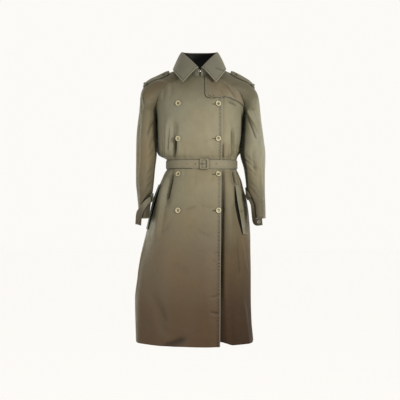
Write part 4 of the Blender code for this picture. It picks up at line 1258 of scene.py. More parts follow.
along = np.concatenate([-1 + steps(0.433, 0.0040, 0.0014, 0.006)[:-1], np.linspace(0, 1, 56)])
a, t = along[:, None], steps(SLEEVE_GIRTH, 0.0052, 0.0016, 0.011)[None, :]
closed = along <= 0
on_shoulder = int(np.argmax(along > 0.08)) / (len(along) - 1)
lines = [(line, inset, on_shoulder, 1) for line in ("west", "east") for inset in RAGLAN_STITCH]
sleeves_made = {}
for side, name in SIDES.items():
    grid = sleeve(side, a, t)
    grid[closed, -1] = grid[closed, 0]
    grid = stitched(grid, side == LEFT, lines, smooth(a / 0.1))
    by_body = 1 - ease(np.minimum(t, 1 - t) - INNER_SHADE[side].at("turn", a), 0.012, 0.048)
    on_top, to_cuff, at_end = SLEEVE_SHADES[side]
    # Painted shade beside the body, on the shoulder, towards the cuff, in the creases and round the straps.
    dark = (
        0.97 * by_body * ease(a, 0.03, -0.09) * ease(a, -1.05, -0.75),
        on_top * smooth(a / 0.2) + to_cuff * ease(a, -0.5, -0.85) + at_end * ease(a, -0.86, -0.94),
        0.55 * ease(creases_of_sleeve(SLEEVE_CREASES, side, a, t), -0.0012, -0.0062),
        STRAP_SHADE * under_epaulette(side, a, t),
        STRAP_SHADE * under_cuff_strap(side, *together(arm_height(a), t)),
    )
    sleeves_made[side] = cloth_piece(f"sleeve_with_shoulder_{name}", grid, sleeve_cloths[side], flip=side == LEFT,
                                     closed=closed, worn=("north",), shade=dark)

# %% [markdown]
# ## The collar
#
# The collar has a stand, which rises from the neckline, and a fall, which rolls over it and lies on the shoulders
# with two pointed wings. Its fold line and its outer edge are measured on one half, from the front to the centre
# back, and mirrored; it sits a little further out on one side, as a worn collar does. Each cross line of the fall is
# a Bezier curve over the roll. The inner side of the stand is near-black and shows inside the neck.

# %% Sizes of the collar
FOLD_LINE = Table("""
share x_mm y_mm z_mm
0 6 -89 8
0.15 24 -82 27
0.3 44 -66 47
0.45 64 -38 68
0.6 75.5 0 83
0.75 67 39 88
0.88 37 63 90
1 0 70 91
""")
COLLAR_EDGE = Table("""
share x_mm y_mm z_mm
0 67 -118 -57
0.15 84 -102 -38
0.3 97.5 -79 -19
0.45 107.5 -48 -3
0.6 112 -8 9
0.75 100 48 10
0.88 58 88 6
1 0 102 4
""")
COLLAR_BELLY = Table("share out_mm\n0 9\n0.3 7\n0.55 3.5\n0.8 4\n1 9")
STAND_TURN = Table("share degrees\n0 0\n0.6 90\n1 180")
FLAT, UP = np.array([1, 1, 0]), np.array([0, 0, 1.0])


# %% The surface of the fall
def both_halves(share):
    """Shares from one front edge by the centre back to the other, and the side that each is on."""
    return 1 - np.abs(1 - 2 * share), points(np.where(share <= 0.5, -1.0, COLLAR_LEFT_REACH), 1, 1)


def collar_roll(share):
    """The inner edge of the fall, just inside the fold line, where the stand ends."""
    half, mirror = both_halves(share)
    fold = FOLD_LINE.point(half)
    return (fold - unit(fold * FLAT) * 0.0035 - UP * 0.003) * mirror


def collar_fall(share, down):
    half, mirror = both_halves(share)
    fold, edge = FOLD_LINE.point(half) * mirror, COLLAR_EDGE.point(half) * mirror
    outward = unit(fold * FLAT)
    belly = edge + (fold - edge) * 0.5 + outward * COLLAR_BELLY.at("out", half)[..., None]
    return bezier(collar_roll(share), fold + outward * 0.0025 + UP * 0.006, belly, edge, down)


# %% Fall and stand
COLLAR_STITCH = 0.0062
BEND_X, BEND_Z = (0.066, 0.101), (0.001, -0.010)  # start and end of the bend in the left wing

share = steps(0.66, 0.0045)[:, None]
down = steps(0.075, 0.0030, 0.0012, 0.010)[None, :]
grid = raised(collar_fall(share, down), False, 0.0016 * np.sin(9.0 * share + 0.8) * ease(down, 0.3, 0.9))
below = grid[..., 2] - np.interp(grid[..., 0], BEND_X, BEND_Z)
off_end = np.maximum(0, BEND_X[0] - grid[..., 0])
in_front = grid[..., 1] < 0
trough, ridge = (in_front * np.exp(-((np.hypot(below + shift, off_end) / 0.0034) ** 2)) for shift in (-0.0022, 0.0040))
grid = raised(grid, False, 0.0022 * ridge - 0.0026 * trough)
edges = ("east", "north", "south")
lines = [(line, COLLAR_STITCH, 0, 1) for line in edges]
grid = stitched(grid, False, lines)
# Painted shade in the trough of the bend.
dark = (stitch_shade(grid, lines, 0.85), 0.38 * trough)
fall = cloth_piece("collar_with_wings", grid, collar_cloth, worn=edges, shade=dark)

share = steps(0.46, 0.0045)
half, mirror = both_halves(share)
turn = np.radians(STAND_TURN.at("degrees", np.maximum(half, 0.012)))
neckline = bare_body(NECK_Z, QUARTER - turn) * np.sign(mirror) + UP * SEAM
top = collar_roll(0.004 + 0.992 * share) - UP * 0.0022
rise = np.linspace(0, 1, 14)[None, :, None]
bow = unit(neckline * FLAT)[:, None] * 0.004 * np.sin(math.pi * rise)
grid = neckline[:, None] * (1 - rise) + top[:, None] * rise + bow
stand = cloth_piece("collar_band", grid, collar_cloth, flip=True, inside=lining_and_painted_shade)

# %% [markdown]
# ## The storm flap
#
# The flap hangs from the shoulder of the wearer's left over the chest. Two of its edges are sewn into the raglan
# seam and the collar, and the other two are free and join in a rounded corner. The upright one is topstitched once
# and the lower one twice. It lies on the body's surface, lifted by its own thickness and a little slack.

# %% The flap
lines = [("west", 0.0045, 0, 0.97), ("south", 0.0040, 0.02, 1), ("south", 0.0085, 0.05, 1)]
grid = stitched(flap_grid, False, lines)
dark = (stitch_shade(grid, lines), 0.4 * slant_shade(grid))
flap = cloth_piece("gun_flap", grid, flap_cloth, worn=("west", "south"), shade=dark)

# %% [markdown]
# ## The belt and its buckle
#
# The belt is one flat strap. It starts beside the buckle, runs round the back, comes through the buckle over its own
# start and ends at the wearer's left side, so it lies two straps thick there. It is stitched along both edges. The
# buckle is a padded frame covered in the same cloth, with a metal prong, and the belt shows inside it.

# %% The belt
ALL_EDGES = ("west", "east", "north", "south")


def belt_line(angle, rise, lift):
    """A place on the waist, where the belt lies."""
    angle, rise, lift = together(angle, rise, lift)
    spot = body(BELT_Z, angle, lift)
    spot[..., 2] = BELT_Z + rise
    return spot


start, end = angle_of(-0.033, BELT_Z), angle_of(0.146, BELT_Z) - TURN
angle = start + (end - start) * steps(1.0, 0.0055, 0.0018, 0.012)[:, None]
lap = ease(angle + TURN - start, 0.42, 0.06)
drop = 0.0038 * (1 - lap) * ease(angle, 0.2, 0.7)
rise = np.linspace(-0.5, 0.5, 25) * BELT_WIDTH
grid = belt_line(angle, rise - drop, LAYER + STRAP + lap * (STRAP + BELT_LAP))
lines = [("west", 0.0030, 0, 1), ("east", 0.0030, 0, 1)]
belt_grid = stitched(grid, False, lines)
# Painted shade along the lower edge of the belt's under layer, where it hangs below the upper one.
dark = (stitch_shade(belt_grid, lines), 0.45 * (1 - lap) * (rise < -0.38 * BELT_WIDTH))
belt = cloth_piece("waist_belt", belt_grid, strap_cloth, STRAP, worn=ALL_EDGES, shade=dark)
belt_middle, belt_angles = belt_grid[::-1, len(rise) // 2], angle[::-1, 0]


def on_belt(x):
    """A place on the outer face of the belt, halfway up it, in front."""
    return np.array([np.interp(angle_of(x, BELT_Z) - TURN, belt_angles, belt_middle[:, k]) for k in range(3)])


# %% The buckle's frame
CORNER_STEPS = 5


def rounded_rectangle(width, height, radius):
    """The corners of a rectangle with rounded ends, anticlockwise."""
    outline = []
    for index, (sx, sy) in enumerate(((1, 1), (-1, 1), (-1, -1), (1, -1))):
        for step in range(CORNER_STEPS + 1):
            turn = QUARTER * (index + step / CORNER_STEPS)
            x = sx * (width / 2 - radius) + radius * math.cos(turn)
            outline.append((x, sy * (height / 2 - radius) + radius * math.sin(turn)))
    return np.array(outline)


def tube_faces(count, size, closed=False, first=0):
    """The faces between rings of points. A closed tube goes on from its last ring to the first."""
    faces = []
    for here in range(count - 1 + closed):
        there = (here + 1) % count * size
        for k in range(size):
            faces.append((here * size + k, here * size + (k + 1) % size, there + (k + 1) % size, there + k))
    if not closed:
        faces += [range(size)[::-1], range((count - 1) * size, count * size)]
    return [tuple(first + corner for corner in face) for face in faces]


BUCKLE_HOLE = (0.019, 0.031)
PAD = 0.0055  # how thick the padded frame is
PAD_RINGS = 13
outer = rounded_rectangle(BUCKLE_WIDTH, BUCKLE_HEIGHT, 0.007)
inner = rounded_rectangle(*BUCKLE_HOLE, 0.003) - (0.001, 0)
t = np.linspace(0, math.pi, PAD_RINGS)[:, None]
flat = outer + (inner - outer) * ((1 - np.cos(t)) / 2)[..., None]
vertices = points(flat[..., 0], flat[..., 1], PAD * (np.clip(np.sin(t), 0, 1) ** 0.7 - 0.5)).reshape(-1, 3)
spot = Vector(belt_line(angle_of(BUCKLE_X, BELT_Z), 0.0, LAYER + 2 * STRAP + BELT_LAP + 0.0030))
buckle_place = Matrix.Translation(spot) @ Matrix.Rotation(QUARTER, 4, "X") @ Matrix.Rotation(0.035, 4, "Y")
faces = tube_faces(PAD_RINGS, len(outer), closed=True)
buckle = hard_piece("covered_buckle", vertices.tolist(), faces, strap_cloth, buckle_place)
mesh = buckle.data
mesh.shade_smooth()
corners = [vertices[loop.vertex_index][:2] for loop in mesh.loops]
mesh.uv_layers.new(name="Cloth").data.foreach_set("uv", np.concatenate(corners))
k = np.repeat(np.arange(PAD_RINGS), len(outer))
# Painted shade on the inner and outer rims of the padded frame.
rim = 0.9 * (1 - smooth(np.minimum(k, PAD_RINGS - 1 - k) / 3.5))
mesh.attributes.new("shade", "FLOAT", "POINT").data.foreach_set("value", rim.astype(np.float32))
print("buckle frame:", len(faces), "faces")

# %% [markdown]
# ## Horn and metal
#
# The buttons are horn: pale cream at the rolled rim, darker and cloudy in the dished middle. The hook and the prong
# are dull metal, small and worn.


# %% Finishes of the hard pieces
def horn_finish(name, gain):
    made, tree, shader = new_finish(name, (0.4, 0.36, 0.24), 0.32, Subsurface_Weight=0.05)
    cloud = noise(tree, object_place(tree), 190.0, 4.0, Distortion=0.8)
    # The dark stop at the outer side of the rolled rim is painted shade round the button.
    horn = colour_ramp(
        tree, attribute(tree, "radius"), (0.0, (0.030, 0.024, 0.013)), (0.30, (0.060, 0.048, 0.026)),
        (0.46, (0.16, 0.135, 0.075)), (0.66, (0.25, 0.220, 0.135)), (0.82, (0.34, 0.310, 0.205)),
        (0.93, (0.13, 0.110, 0.062)),
    )
    tint = colour_ramp(tree, cloud, *tinted(((0.3, (0.80, 0.78, 0.70)), (0.7, (1.15, 1.13, 1.08))), gain))
    feed(tree, shader["Base Color"], mixed(tree, "MULTIPLY", 1.0, horn, tint))
    feed(tree, shader["Roughness"], in_range(tree, cloud, To_Min=0.22, To_Max=0.42))
    feed(tree, shader["Normal"], bumps(tree, (0.15, 0.0002, cloud)))
    return made


def metal_finish(name, gain):
    made, tree, shader = new_finish(name, (0.5, 0.48, 0.42), 0.3, Metallic=1.0)
    rubbed = noise(tree, object_place(tree), 420.0, 3.0)
    worn = tinted(((0.3, (0.33, 0.31, 0.26)), (0.7, (0.62, 0.60, 0.54))), gain)
    feed(tree, shader["Base Color"], colour_ramp(tree, rubbed, *worn))
    feed(tree, shader["Roughness"], in_range(tree, rubbed, To_Min=0.22, To_Max=0.45))
    return made


# The small buttons take a darker copy of the horn, as painted shade.
horn, shaded_horn = horn_finish("pale_horn", 1.0), horn_finish("shaded_horn", 0.45)
metal, dark_metal = metal_finish("dull_metal", 1.0), metal_finish("darkened_metal", 0.22)

# %% The prong
PRONG_LENGTH, PRONG_ROUND = 0.022, 12
PRONG = np.array(((-0.5, 0.55), (-0.47, 0.9), (-0.2, 1.0), (0.2, 0.92), (0.42, 0.75), (0.5, 0.35)))  # place, width
place, width = PRONG[:, :1], PRONG[:, 1:]
turn = TURN * np.arange(PRONG_ROUND) / PRONG_ROUND
arched = 0.0030 + 0.0006 * np.cos(math.pi * place)
vertices = points(place * PRONG_LENGTH - 0.006, 0.0013 * width * np.cos(turn), arched + 0.0008 * width * np.sin(turn))
faces = tube_faces(len(PRONG), PRONG_ROUND)
prong = hard_piece("prong", vertices.reshape(-1, 3).tolist(), faces, dark_metal, buckle_place)
prong.data.shade_smooth()

# %% [markdown]
# ## The pockets
#
# Each slanted pocket shows as a slit with a welt beside it, a folded strip that is sewn down at its ends and stands
# a little open along the slit. The dark mouth behind the open edge is a near-black strip laid on the front, painted
# shade for the inside of the pocket.

# %% Welts and mouths
SLITS = {
    LEFT: Table("ring_mm x_mm\n-468 137.5\n-532 144\n-600 156\n-662 169"),
    RIGHT: Table("ring_mm x_mm\n-464 -155.5\n-532 -180\n-590 -195\n-644 -208"),
}
WELT_GAPE = {LEFT: 0.0070, RIGHT: 0.0045}

welt_grids, welts, mouth_shades = {}, {}, {}
for side, name in SIDES.items():
    low, high = SLITS[side].rows[[0, -1], 0]
    down = steps(high - low, 0.0032, 0.0012, 0.008)[:, None]
    share = steps(WELT_WIDTH, 0.0016, 0.0010, 0.007)
    ring = low + (high - low) * down
    angle, girth = angle_of(SLITS[side].at("x", ring), ring), RINGS.at("front", ring)
    gape = np.sin(math.pi * (0.04 + 0.92 * down)) * WELT_GAPE[side]
    grid = body(ring, angle - side * share * WELT_WIDTH / girth, CLOTH + 3 * LAYER + gape * (1 - share) ** 1.4)
    lines = [("west", 0.0035, 0, 1), ("north", 0.0030, 0, 1), ("south", 0.0030, 0, 1)]
    grid = welt_grids[side] = stitched(grid, side == LEFT, lines)
    # Painted shadow along the welt's sewn edge.
    dark = (stitch_shade(grid, lines), 0.8 * np.exp(-distances(grid, "east") / 0.0016))
    worn = ("west", "north", "south")
    welts[side] = cloth_piece(f"welt_{name}", grid, welt_cloth, flip=side == LEFT, worn=worn, shade=dark)
    # A near-black strip on the front under the open welt: painted shade for the inside of the pocket.
    half_gap = np.sin(math.pi * (0.05 + 0.90 * down)) * 0.0050
    grid = body(ring, angle + side * np.linspace(-0.3, 1.7, 9) * half_gap / girth, 0.0022)
    mouth_shades[side] = cloth_piece(f"mouth_{name}", grid, lining_and_painted_shade, MOUTH_CLOTH, flip=side == RIGHT, worn=ALL_EDGES)

# %% [markdown]
# ## The epaulettes
#
# A shoulder strap runs from the sleeve to near the collar, where it ends in a point under a small button. A narrow
# carrier over its wide end holds it down. It follows the sleeve's own surface a little in front of the ridge.

# %% Straps on the shoulders
CARRIER_REACH = 0.22  # how far a carrier goes down beside the strap, as a share of the strap's width


def strap_roll(share, across):
    return EPAULETTE_SLACK + EPAULETTE_ROLL * smooth(share / 0.16) * (np.clip(across, 0, 1) - 0.5)


def epaulette(side, share, across, lift=0.0):
    """A point of an epaulette: share from the sleeve to the tip, across from its front edge to its back."""
    along = EPAULETTE.at("along", share)
    offset = (across - 0.5) * EPAULETTE.at("width", share) - EPAULETTE_FORWARD
    stand = EPAULETTE.at("lift", share) + strap_roll(share, across)
    return sleeve(side, along, 0.5 + offset / shoulder_span(side, along), stand + lift)


shoulder_straps, shoulder_carriers = {}, {}
for side, name in SIDES.items():
    s, a = steps(0.125, 0.0022, 0.0012, 0.006)[:, None], steps(0.042, 0.0022, 0.0011, 0.0066)
    lines = [("west", 0.0032, 0, 0.985), ("east", 0.0032, 0, 0.985), ("north", 0.0032, 0, 1)]
    grid = stitched(epaulette(side, s, a), side == LEFT, lines)
    dark = (stitch_shade(grid, lines), rim_shade(grid, ("west", "north")))
    label = f"shoulder_strap_{name}"
    shoulder_straps[side] = cloth_piece(label, grid, strap_cloth, STRAP, side == LEFT, worn=("east",), shade=dark)
    s, a = np.linspace(0.13, 0.21, 11)[:, None], np.linspace(-CARRIER_REACH, 1 + CARRIER_REACH, 45)
    beyond = np.clip(np.abs(a - 0.5) - 0.5, 0, 1) / CARRIER_REACH
    down_at_end = EPAULETTE.at("lift", s) + 0.0014 + strap_roll(s, a)
    grid = epaulette(side, s, a, 0.0022 - down_at_end * beyond**1.6 + 0.0026 * smooth(beyond / 0.3))
    # Painted shade over the carrier, darkest at its front end.
    dark = (0.25 + 0.5 * ease(a, 0.12, 0.02),)
    label = f"strap_carrier_{name}"
    shoulder_carriers[side] = cloth_piece(label, grid, strap_cloth, LOOP_CLOTH, side == LEFT, shade=dark)

# %% [markdown]
# ## The cuff straps
#
# Each cuff strap has slipped down its sleeve and its end hangs free below the cuff. The middle line of a strap is
# given by heights and shares of the way round; every other point is an offset across that line on the sleeve.

# %% Straps on the sleeves
CUFF_LIFT = STRAP + CUFF_SLACK
CUFF_END_SHADE = {LEFT: 0.62, RIGHT: 0.42}
FLAT_END = unit(np.array([-0.96, 0.16, 0.22]))


def on_sleeve(side, z, turn, lift):
    """A place on a sleeve, or hanging straight down from its cuff."""
    z, turn, lift = together(z, turn, lift)
    along = (np.maximum(z, CUFF_Z) - ARMPIT_Z) / (ARMPIT_Z - CUFF_Z)
    spot = sleeve(side, along, turn, lift, creased=False)
    spot[..., 2] += np.minimum(z - CUFF_Z, 0)
    return spot


def on_strap(side, share, offset, lift):
    """A place on a cuff strap: a share of its length, and an offset in metres across it."""
    share, offset = together(share, offset)
    z, turn = (CUFF_STRAPS[side].at(name, share) for name in ("z", "turn"))
    free = smooth((share - FREE_END[side]) / (1 - FREE_END[side]) * 2.2)
    offset = offset * (1 + (END_WIDER[side] - 1) * free)
    step = 0.01
    down, round_it = (
        CUFF_STRAPS[side].at(name, share + step) - CUFF_STRAPS[side].at(name, share - step) for name in ("z", "turn")
    )
    round_it = round_it * CUFF_GIRTH
    length = np.hypot(down, round_it)
    wrapped = on_sleeve(side, z + offset * round_it / length, turn - offset * down / length / CUFF_GIRTH, lift)
    if side == LEFT:
        return wrapped
    # The outer half of this free end no longer follows the arm: it stands out flat beside it.
    flat = on_sleeve(side, z, turn, lift) + np.maximum(offset, 0)[..., None] * FLAT_END
    return wrapped + (flat - wrapped) * (free * (offset > 0))[..., None]


cuff_straps, cuff_carriers = {}, {}
for side, name in SIDES.items():
    share = steps(0.30, 0.0028, 0.0012, 0.006)[:, None]
    offset = (steps(CUFF_STRAP_WIDTH, 0.0022, 0.0011, 0.0055) - 0.5) * CUFF_STRAP_WIDTH
    rims = ("west", "east", "south")
    lines = [(line, 0.0030, 0, 1) for line in rims]
    grid = stitched(on_strap(side, share, offset, CUFF_LIFT), side == RIGHT, lines)
    end_shade = CUFF_END_SHADE[side] * ease(share, 0.55, 0.8) + 0.12
    dark = (stitch_shade(grid, lines), end_shade, rim_shade(grid, rims))
    label = f"sleeve_strap_{name}"
    cuff_straps[side] = cloth_piece(label, grid, strap_cloth, STRAP, side == RIGHT, shade=dark)
    share, reach = np.linspace(*CARRIER_SHARE[side], 12)[:, None], np.linspace(-0.66, 0.66, 41)
    over = CUFF_LIFT + CARRIER_RISE - (CUFF_LIFT + CARRIER_RISE - 0.0030) * ease(np.abs(reach), 0.5, 0.66)
    grid = on_strap(side, share, reach * CUFF_STRAP_WIDTH, over)
    dark = (CUFF_END_SHADE[side], rim_shade(grid, ("north", "south")))
    label = f"sleeve_carrier_{name}"
    cuff_carriers[side] = cloth_piece(label, grid, strap_cloth, LOOP_CLOTH, side == RIGHT, shade=dark)

# %% [markdown]
# ## The buttons
#
# A button is turned on a lathe: a rolled rim, a dished middle and a rounded foot. Turning a half outline with the
# Screw modifier gives it the same way. Every button is moved to its own place on the coat and keeps a "radius"
# attribute, which the horn finish reads.

# %% One button, turned
BUTTON_PROFILE = (  # share of the radius, height
    (0.0, 0.0014), (0.30, 0.0014), (0.46, 0.0017), (0.56, 0.0026), (0.64, 0.0034), (0.74, 0.0039), (0.84, 0.0039),
    (0.93, 0.0034), (0.99, 0.0026), (1.00, 0.0019), (0.97, 0.0010), (0.88, 0.0003), (0.60, 0.0), (0.0, 0.0),
)


def as_plain_mesh(source, name, finish):
    """What an object's modifiers make of it, as a mesh of its own. The object goes."""
    bpy.context.view_layer.update()
    mesh = bpy.data.meshes.new_from_object(source.evaluated_get(bpy.context.evaluated_depsgraph_get()))
    bpy.data.objects.remove(source, do_unlink=True)
    mesh.name = name
    mesh.materials.clear()
    mesh.materials.append(finish)
    return mesh


def button_mesh(name, scale, height, finish):
    """A button at the origin, its face up."""
    radius = BUTTON_DIAMETER / 2 * scale
    outline = [(x * radius, 0, z * height) for x, z in BUTTON_PROFILE]
    mesh = bpy.data.meshes.new(name)
    mesh.from_pydata(outline, [(i, i + 1) for i in range(len(outline) - 1)], [])
    lathe = add_object(name + "_profile", mesh)
    turn = lathe.modifiers.new("Turn", "SCREW")
    turn.steps = turn.render_steps = 40
    turn.use_merge_vertices, turn.merge_threshold = True, 0.0001
    turn.use_smooth_shade = True
    mesh = as_plain_mesh(lathe, name, finish)
    face_outwards(mesh)
    share = [math.hypot(v.co.x, v.co.y) / radius for v in mesh.vertices]
    mesh.attributes.new("radius", "FLOAT", "POINT").data.foreach_set("value", share)
    return mesh


def fasten(name, mesh, surface, lift):
    """A button on a surface, given as a place by its height over the cloth."""
    foot = Vector(surface(lift))
    turn = (Vector(surface(lift + 0.01)) - foot).to_track_quat("Z", "Y").to_matrix().to_4x4()
    copy = mesh.copy()
    copy.transform(Matrix.Translation(foot) @ turn)
    return add_object(name, copy)


# %% Buttons on the coat
FLAP_BUTTON = (0.0425, -0.1135)
large, small = button_mesh("front_button", 1.0, 1.0, horn), button_mesh("small_button", 0.62, 0.8, shaded_horn)
buttons = {}
for column, x in BUTTON_COLUMNS.items():
    for row, z in enumerate(BUTTON_ROWS_Z, start=1):
        on_panel = lambda lift: body(z, angle_of(x, z), lift)
        buttons[f"button_{column}_{row}"] = fasten(f"front_button_{column}_{row}", large, on_panel, 0.0012)
x, flap_ring = FLAP_BUTTON
on_flap = lambda lift: body(flap_ring, angle_of(x, flap_ring), lift)
buttons["flap_button"] = fasten("gun_flap_button", small, on_flap, FLAP_LIFT + 0.0008)
for side, name in SIDES.items():
    on_shoulder = lambda lift: epaulette(side, 0.84, 0.5, lift)
    buttons[f"epaulette_button_{name}"] = fasten(f"shoulder_button_{name}", small, on_shoulder, 0.0012)
    on_cuff = lambda lift: on_strap(side, 0.93, 0.0, lift)
    buttons[f"cuff_button_{name}"] = fasten(f"sleeve_button_{name}", small, on_cuff, CUFF_LIFT + 0.0010)
print("buttons:", len(buttons))

# %% [markdown]
# ## The hook at the throat
#
# A bent wire hook joins the two collar ends. It is a ring of round wire, made from a torus.

# %% Throat hook
bpy.ops.mesh.primitive_torus_add(major_radius=0.0040, minor_radius=0.0009, major_segments=32, minor_segments=10)
hook = bpy.context.active_object
hook.name = "hook"
hook.data.transform(Matrix.Translation((-0.0015, -0.0925, -0.010)) @ Matrix.Rotation(QUARTER, 4, "X"))
hook.data.shade_smooth()
hook.data.materials.append(metal)

# %% [markdown]
# ## Topstitching
#
# Every seam line kept above becomes a row of stitches. One mesh holds all the lines as chains of edges, with the
# outward direction stored at each point. A Geometry Nodes tree resamples the lines at the stitch pitch and sets one
# short thread on each point, turned along the line. The seed and the sizes are inputs of the tree.


# %% Tree that sews a line
def sewing_tree(finish):
    tree = bpy.data.node_groups.new("sewing", "GeometryNodeTree")
    names = {}
    for name, kind, value in (
        ("Lines", "Geometry", None), ("Pitch", "Float", 0.0036), ("Stitch length", "Float", 0.0027),
        ("Thread width", "Float", 0.0008), ("Thread thickness", "Float", 0.0008), ("Turn", "Float", 0.0),
        ("Seed", "Int", 3),
    ):
        socket = tree.interface.new_socket(name=name, in_out="INPUT", socket_type="NodeSocket" + kind)
        if value is not None:
            socket.default_value = value
        names[name] = socket.identifier
    tree.interface.new_socket(name="Stitches", in_out="OUTPUT", socket_type="NodeSocketGeometry")
    given = add_node(tree, "NodeGroupInput").outputs
    curves = add_node(tree, "GeometryNodeMeshToCurve", Mesh=given["Lines"]).outputs["Curve"]
    spots = add_node(tree, "GeometryNodeCurveToPoints", mode="LENGTH", Curve=curves, Length=given["Pitch"]).outputs
    up = add_node(tree, "GeometryNodeInputNamedAttribute", data_type="FLOAT_VECTOR", Name="up").outputs["Attribute"]
    axes = add_node(tree, "FunctionNodeAxesToRotation", primary_axis="Z", secondary_axis="X",
                    Primary_Axis=up, Secondary_Axis=spots["Tangent"]).outputs[0]
    jitter = add_node(tree, "FunctionNodeRandomValue", data_type="FLOAT", Seed=given["Seed"])
    low, high = [socket for socket in jitter.inputs if socket.type == "VALUE"][:2]
    low.default_value, high.default_value = -0.09, 0.09
    turn = add_node(tree, "ShaderNodeMath")
    feed(tree, turn.inputs[0], [socket for socket in jitter.outputs if socket.type == "VALUE"][0])
    feed(tree, turn.inputs[1], given["Turn"])
    spin = add_node(tree, "FunctionNodeAxisAngleToRotation", Axis=(0, 0, 1), Angle=turn.outputs[0]).outputs[0]
    turned = add_node(tree, "FunctionNodeRotateRotation", rotation_space="LOCAL", Rotation=axes, Rotate_By=spin)
    bead = add_node(tree, "GeometryNodeMeshUVSphere", Segments=6, Rings=4, Radius=0.5).outputs["Mesh"]
    size = add_node(tree, "ShaderNodeCombineXYZ", X=given["Stitch length"], Y=given["Thread width"],
                    Z=given["Thread thickness"]).outputs[0]
    scattered = add_node(tree, "GeometryNodeInstanceOnPoints", Points=spots["Points"], Instance=bead,
                         Rotation=turned.outputs[0], Scale=size).outputs[0]
    real = add_node(tree, "GeometryNodeRealizeInstances", Geometry=scattered).outputs[0]
    soft = add_node(tree, "GeometryNodeSetShadeSmooth", Geometry=real).outputs[0]
    finished = add_node(tree, "GeometryNodeSetMaterial", Geometry=soft, Material=finish).outputs[0]
    feed(tree, add_node(tree, "NodeGroupOutput").inputs[0], finished)
    return tree, names


# %% Thread
def thread_finish():
    """The coat's colours by height, paler and with the same painted shade, and the ply of the thread as fine noise."""
    made, tree, shader = new_finish("khaki_thread", (0.36, 0.32, 0.22), 0.5)
    place = object_place(tree)
    ply = grey_ramp(tree, noise(tree, place, 2500.0), (0.3, 0.85), (0.7, 1.12))
    tone_and_painted_shade = by_height(tree, place, tinted(TONES, 1.45))
    feed(tree, shader["Base Color"], mixed(tree, "MULTIPLY", 1.0, tone_and_painted_shade, ply))
    return made


thread = thread_finish()
sewing, sewing_names = sewing_tree(thread)


def sew(name, paths, sizes={}):
    """Rows of thread along paths, as one plain mesh."""
    spots, ups = (np.concatenate(part) for part in zip(*paths))
    ends = np.cumsum([len(path) for path, _ in paths])
    edges = [(i, i + 1) for i in range(len(spots) - 1) if i + 1 not in ends]
    mesh = bpy.data.meshes.new(name + "_lines")
    mesh.from_pydata(spots.tolist(), edges, [])
    mesh.attributes.new("up", "FLOAT_VECTOR", "POINT").data.foreach_set("vector", ups.reshape(-1).astype(np.float32))
    guide = add_object(name + "_lines", mesh)
    sewer = guide.modifiers.new("Sewing", "NODES")
    sewer.node_group = sewing
    for key, value in sizes.items():
        sewer[sewing_names[key]] = value
    piece = add_object(name, as_plain_mesh(guide, name, thread))
    print(name, len(piece.data.polygons), "faces on", len(paths), "lines")
    return piece


topstitching = sew("topstitching", seam_paths)

# %% [markdown]
# ## Buttonholes and eyelets
#
# On the coat a buttonhole is cut through the front and worked all round with close stitches that lie across its
# edge, and the eyelets of the belt are round holes worked the same way. No hole is cut here: each shows as a
# near-black spindle or disc laid on the cloth, painted shade for the hole, and the same tree that sews the long seams
# works the edges, with its stitches turned across the line.

# %% Cuts, laid as painted shade
CUT_STATIONS = 15
CUT_HALF, CUT_RISE = 0.0011, 0.0003
HOLE_REACH = 0.0015  # from the middle of a cut to the thread round it
EYELETS = (-0.0495, -0.0178, 0.0634)
EYELET_RADIUS, EYELET_ROUND = 0.0021, 24
EDGE_SIZES = {"Pitch": 0.0008, "Stitch length": 0.0020, "Thread width": 0.0007, "Thread thickness": 0.0006,
              "Turn": QUARTER}


def at_column(row, place):
    """The values of one row of a grid between two of its columns."""
    return np.array([np.interp(place, np.arange(len(row)), row[:, k]) for k in range(3)]).T


def on_front(x_start, x_end, z, lift, rise=0.0):
    x, ring = np.linspace(x_start, x_end, CUT_STATIONS), np.linspace(z, z + rise, CUT_STATIONS)
    spot = body(ring, angle_of(x, ring), lift)
    return spot, unit(body(ring, angle_of(x, ring), lift + 0.01) - spot)


def on_welt():
    """The buttonhole across the welt of the wearer's left, halfway down it."""
    row = round(0.476 * (len(welt_grids[LEFT]) - 1))
    spot, out = welt_grids[LEFT][row], grid_normals(welt_grids[LEFT], True)[row]
    share = np.linspace(0.15, 0.75, CUT_STATIONS) * (len(spot) - 1)
    spot, out = at_column(spot, share), unit(at_column(out, share))
    return spot + out * 0.0004, out


holes = [on_front(0.0475, 0.0760, z - 0.0010, 0.0004) for z in BUTTON_ROWS_Z]
holes += [on_front(0.0335, 0.0560, flap_ring + 0.001, FLAP_LIFT + 0.0004, -0.004), on_welt()]
vertices, faces, edge_paths = [], [], []
for spot, out in holes:
    sideways = unit(np.cross(out, unit(np.gradient(spot, axis=0))))
    wide = CUT_HALF * (0.12 + 0.88 * np.clip(np.sin(np.linspace(0, math.pi, CUT_STATIONS)), 0, 1) ** 0.5)[:, None]
    rows = [spot + sideways * wide * a + out * CUT_RISE * b for a, b in ((1, 0), (0, 1), (-1, 0), (0, -1))]
    faces += tube_faces(CUT_STATIONS, len(rows), first=len(vertices))
    vertices += np.stack(rows, axis=1).reshape(-1, 3).tolist()
    reach = sideways * (wide + HOLE_REACH)
    line = np.concatenate([spot + reach, (spot - reach)[::-1], (spot + reach)[:1]])
    edge_paths.append((line, np.concatenate([out, out[::-1], out[:1]])))
for x in EYELETS:
    spot = on_belt(x)
    out = unit(spot * FLAT)
    turns = np.linspace(0, TURN, EYELET_ROUND + 1)[:, None]
    circle = np.cos(turns) * unit(np.cross(UP, out)) + np.sin(turns) * UP
    faces += tube_faces(2, EYELET_ROUND, first=len(vertices))
    for height in (-0.0002, 0.0003):
        vertices += (spot + circle[:-1] * EYELET_RADIUS + out * height).tolist()
    line = spot + circle * (EYELET_RADIUS + 0.0007) + out * 0.0002
    edge_paths.append((line, np.broadcast_to(out, line.shape)))
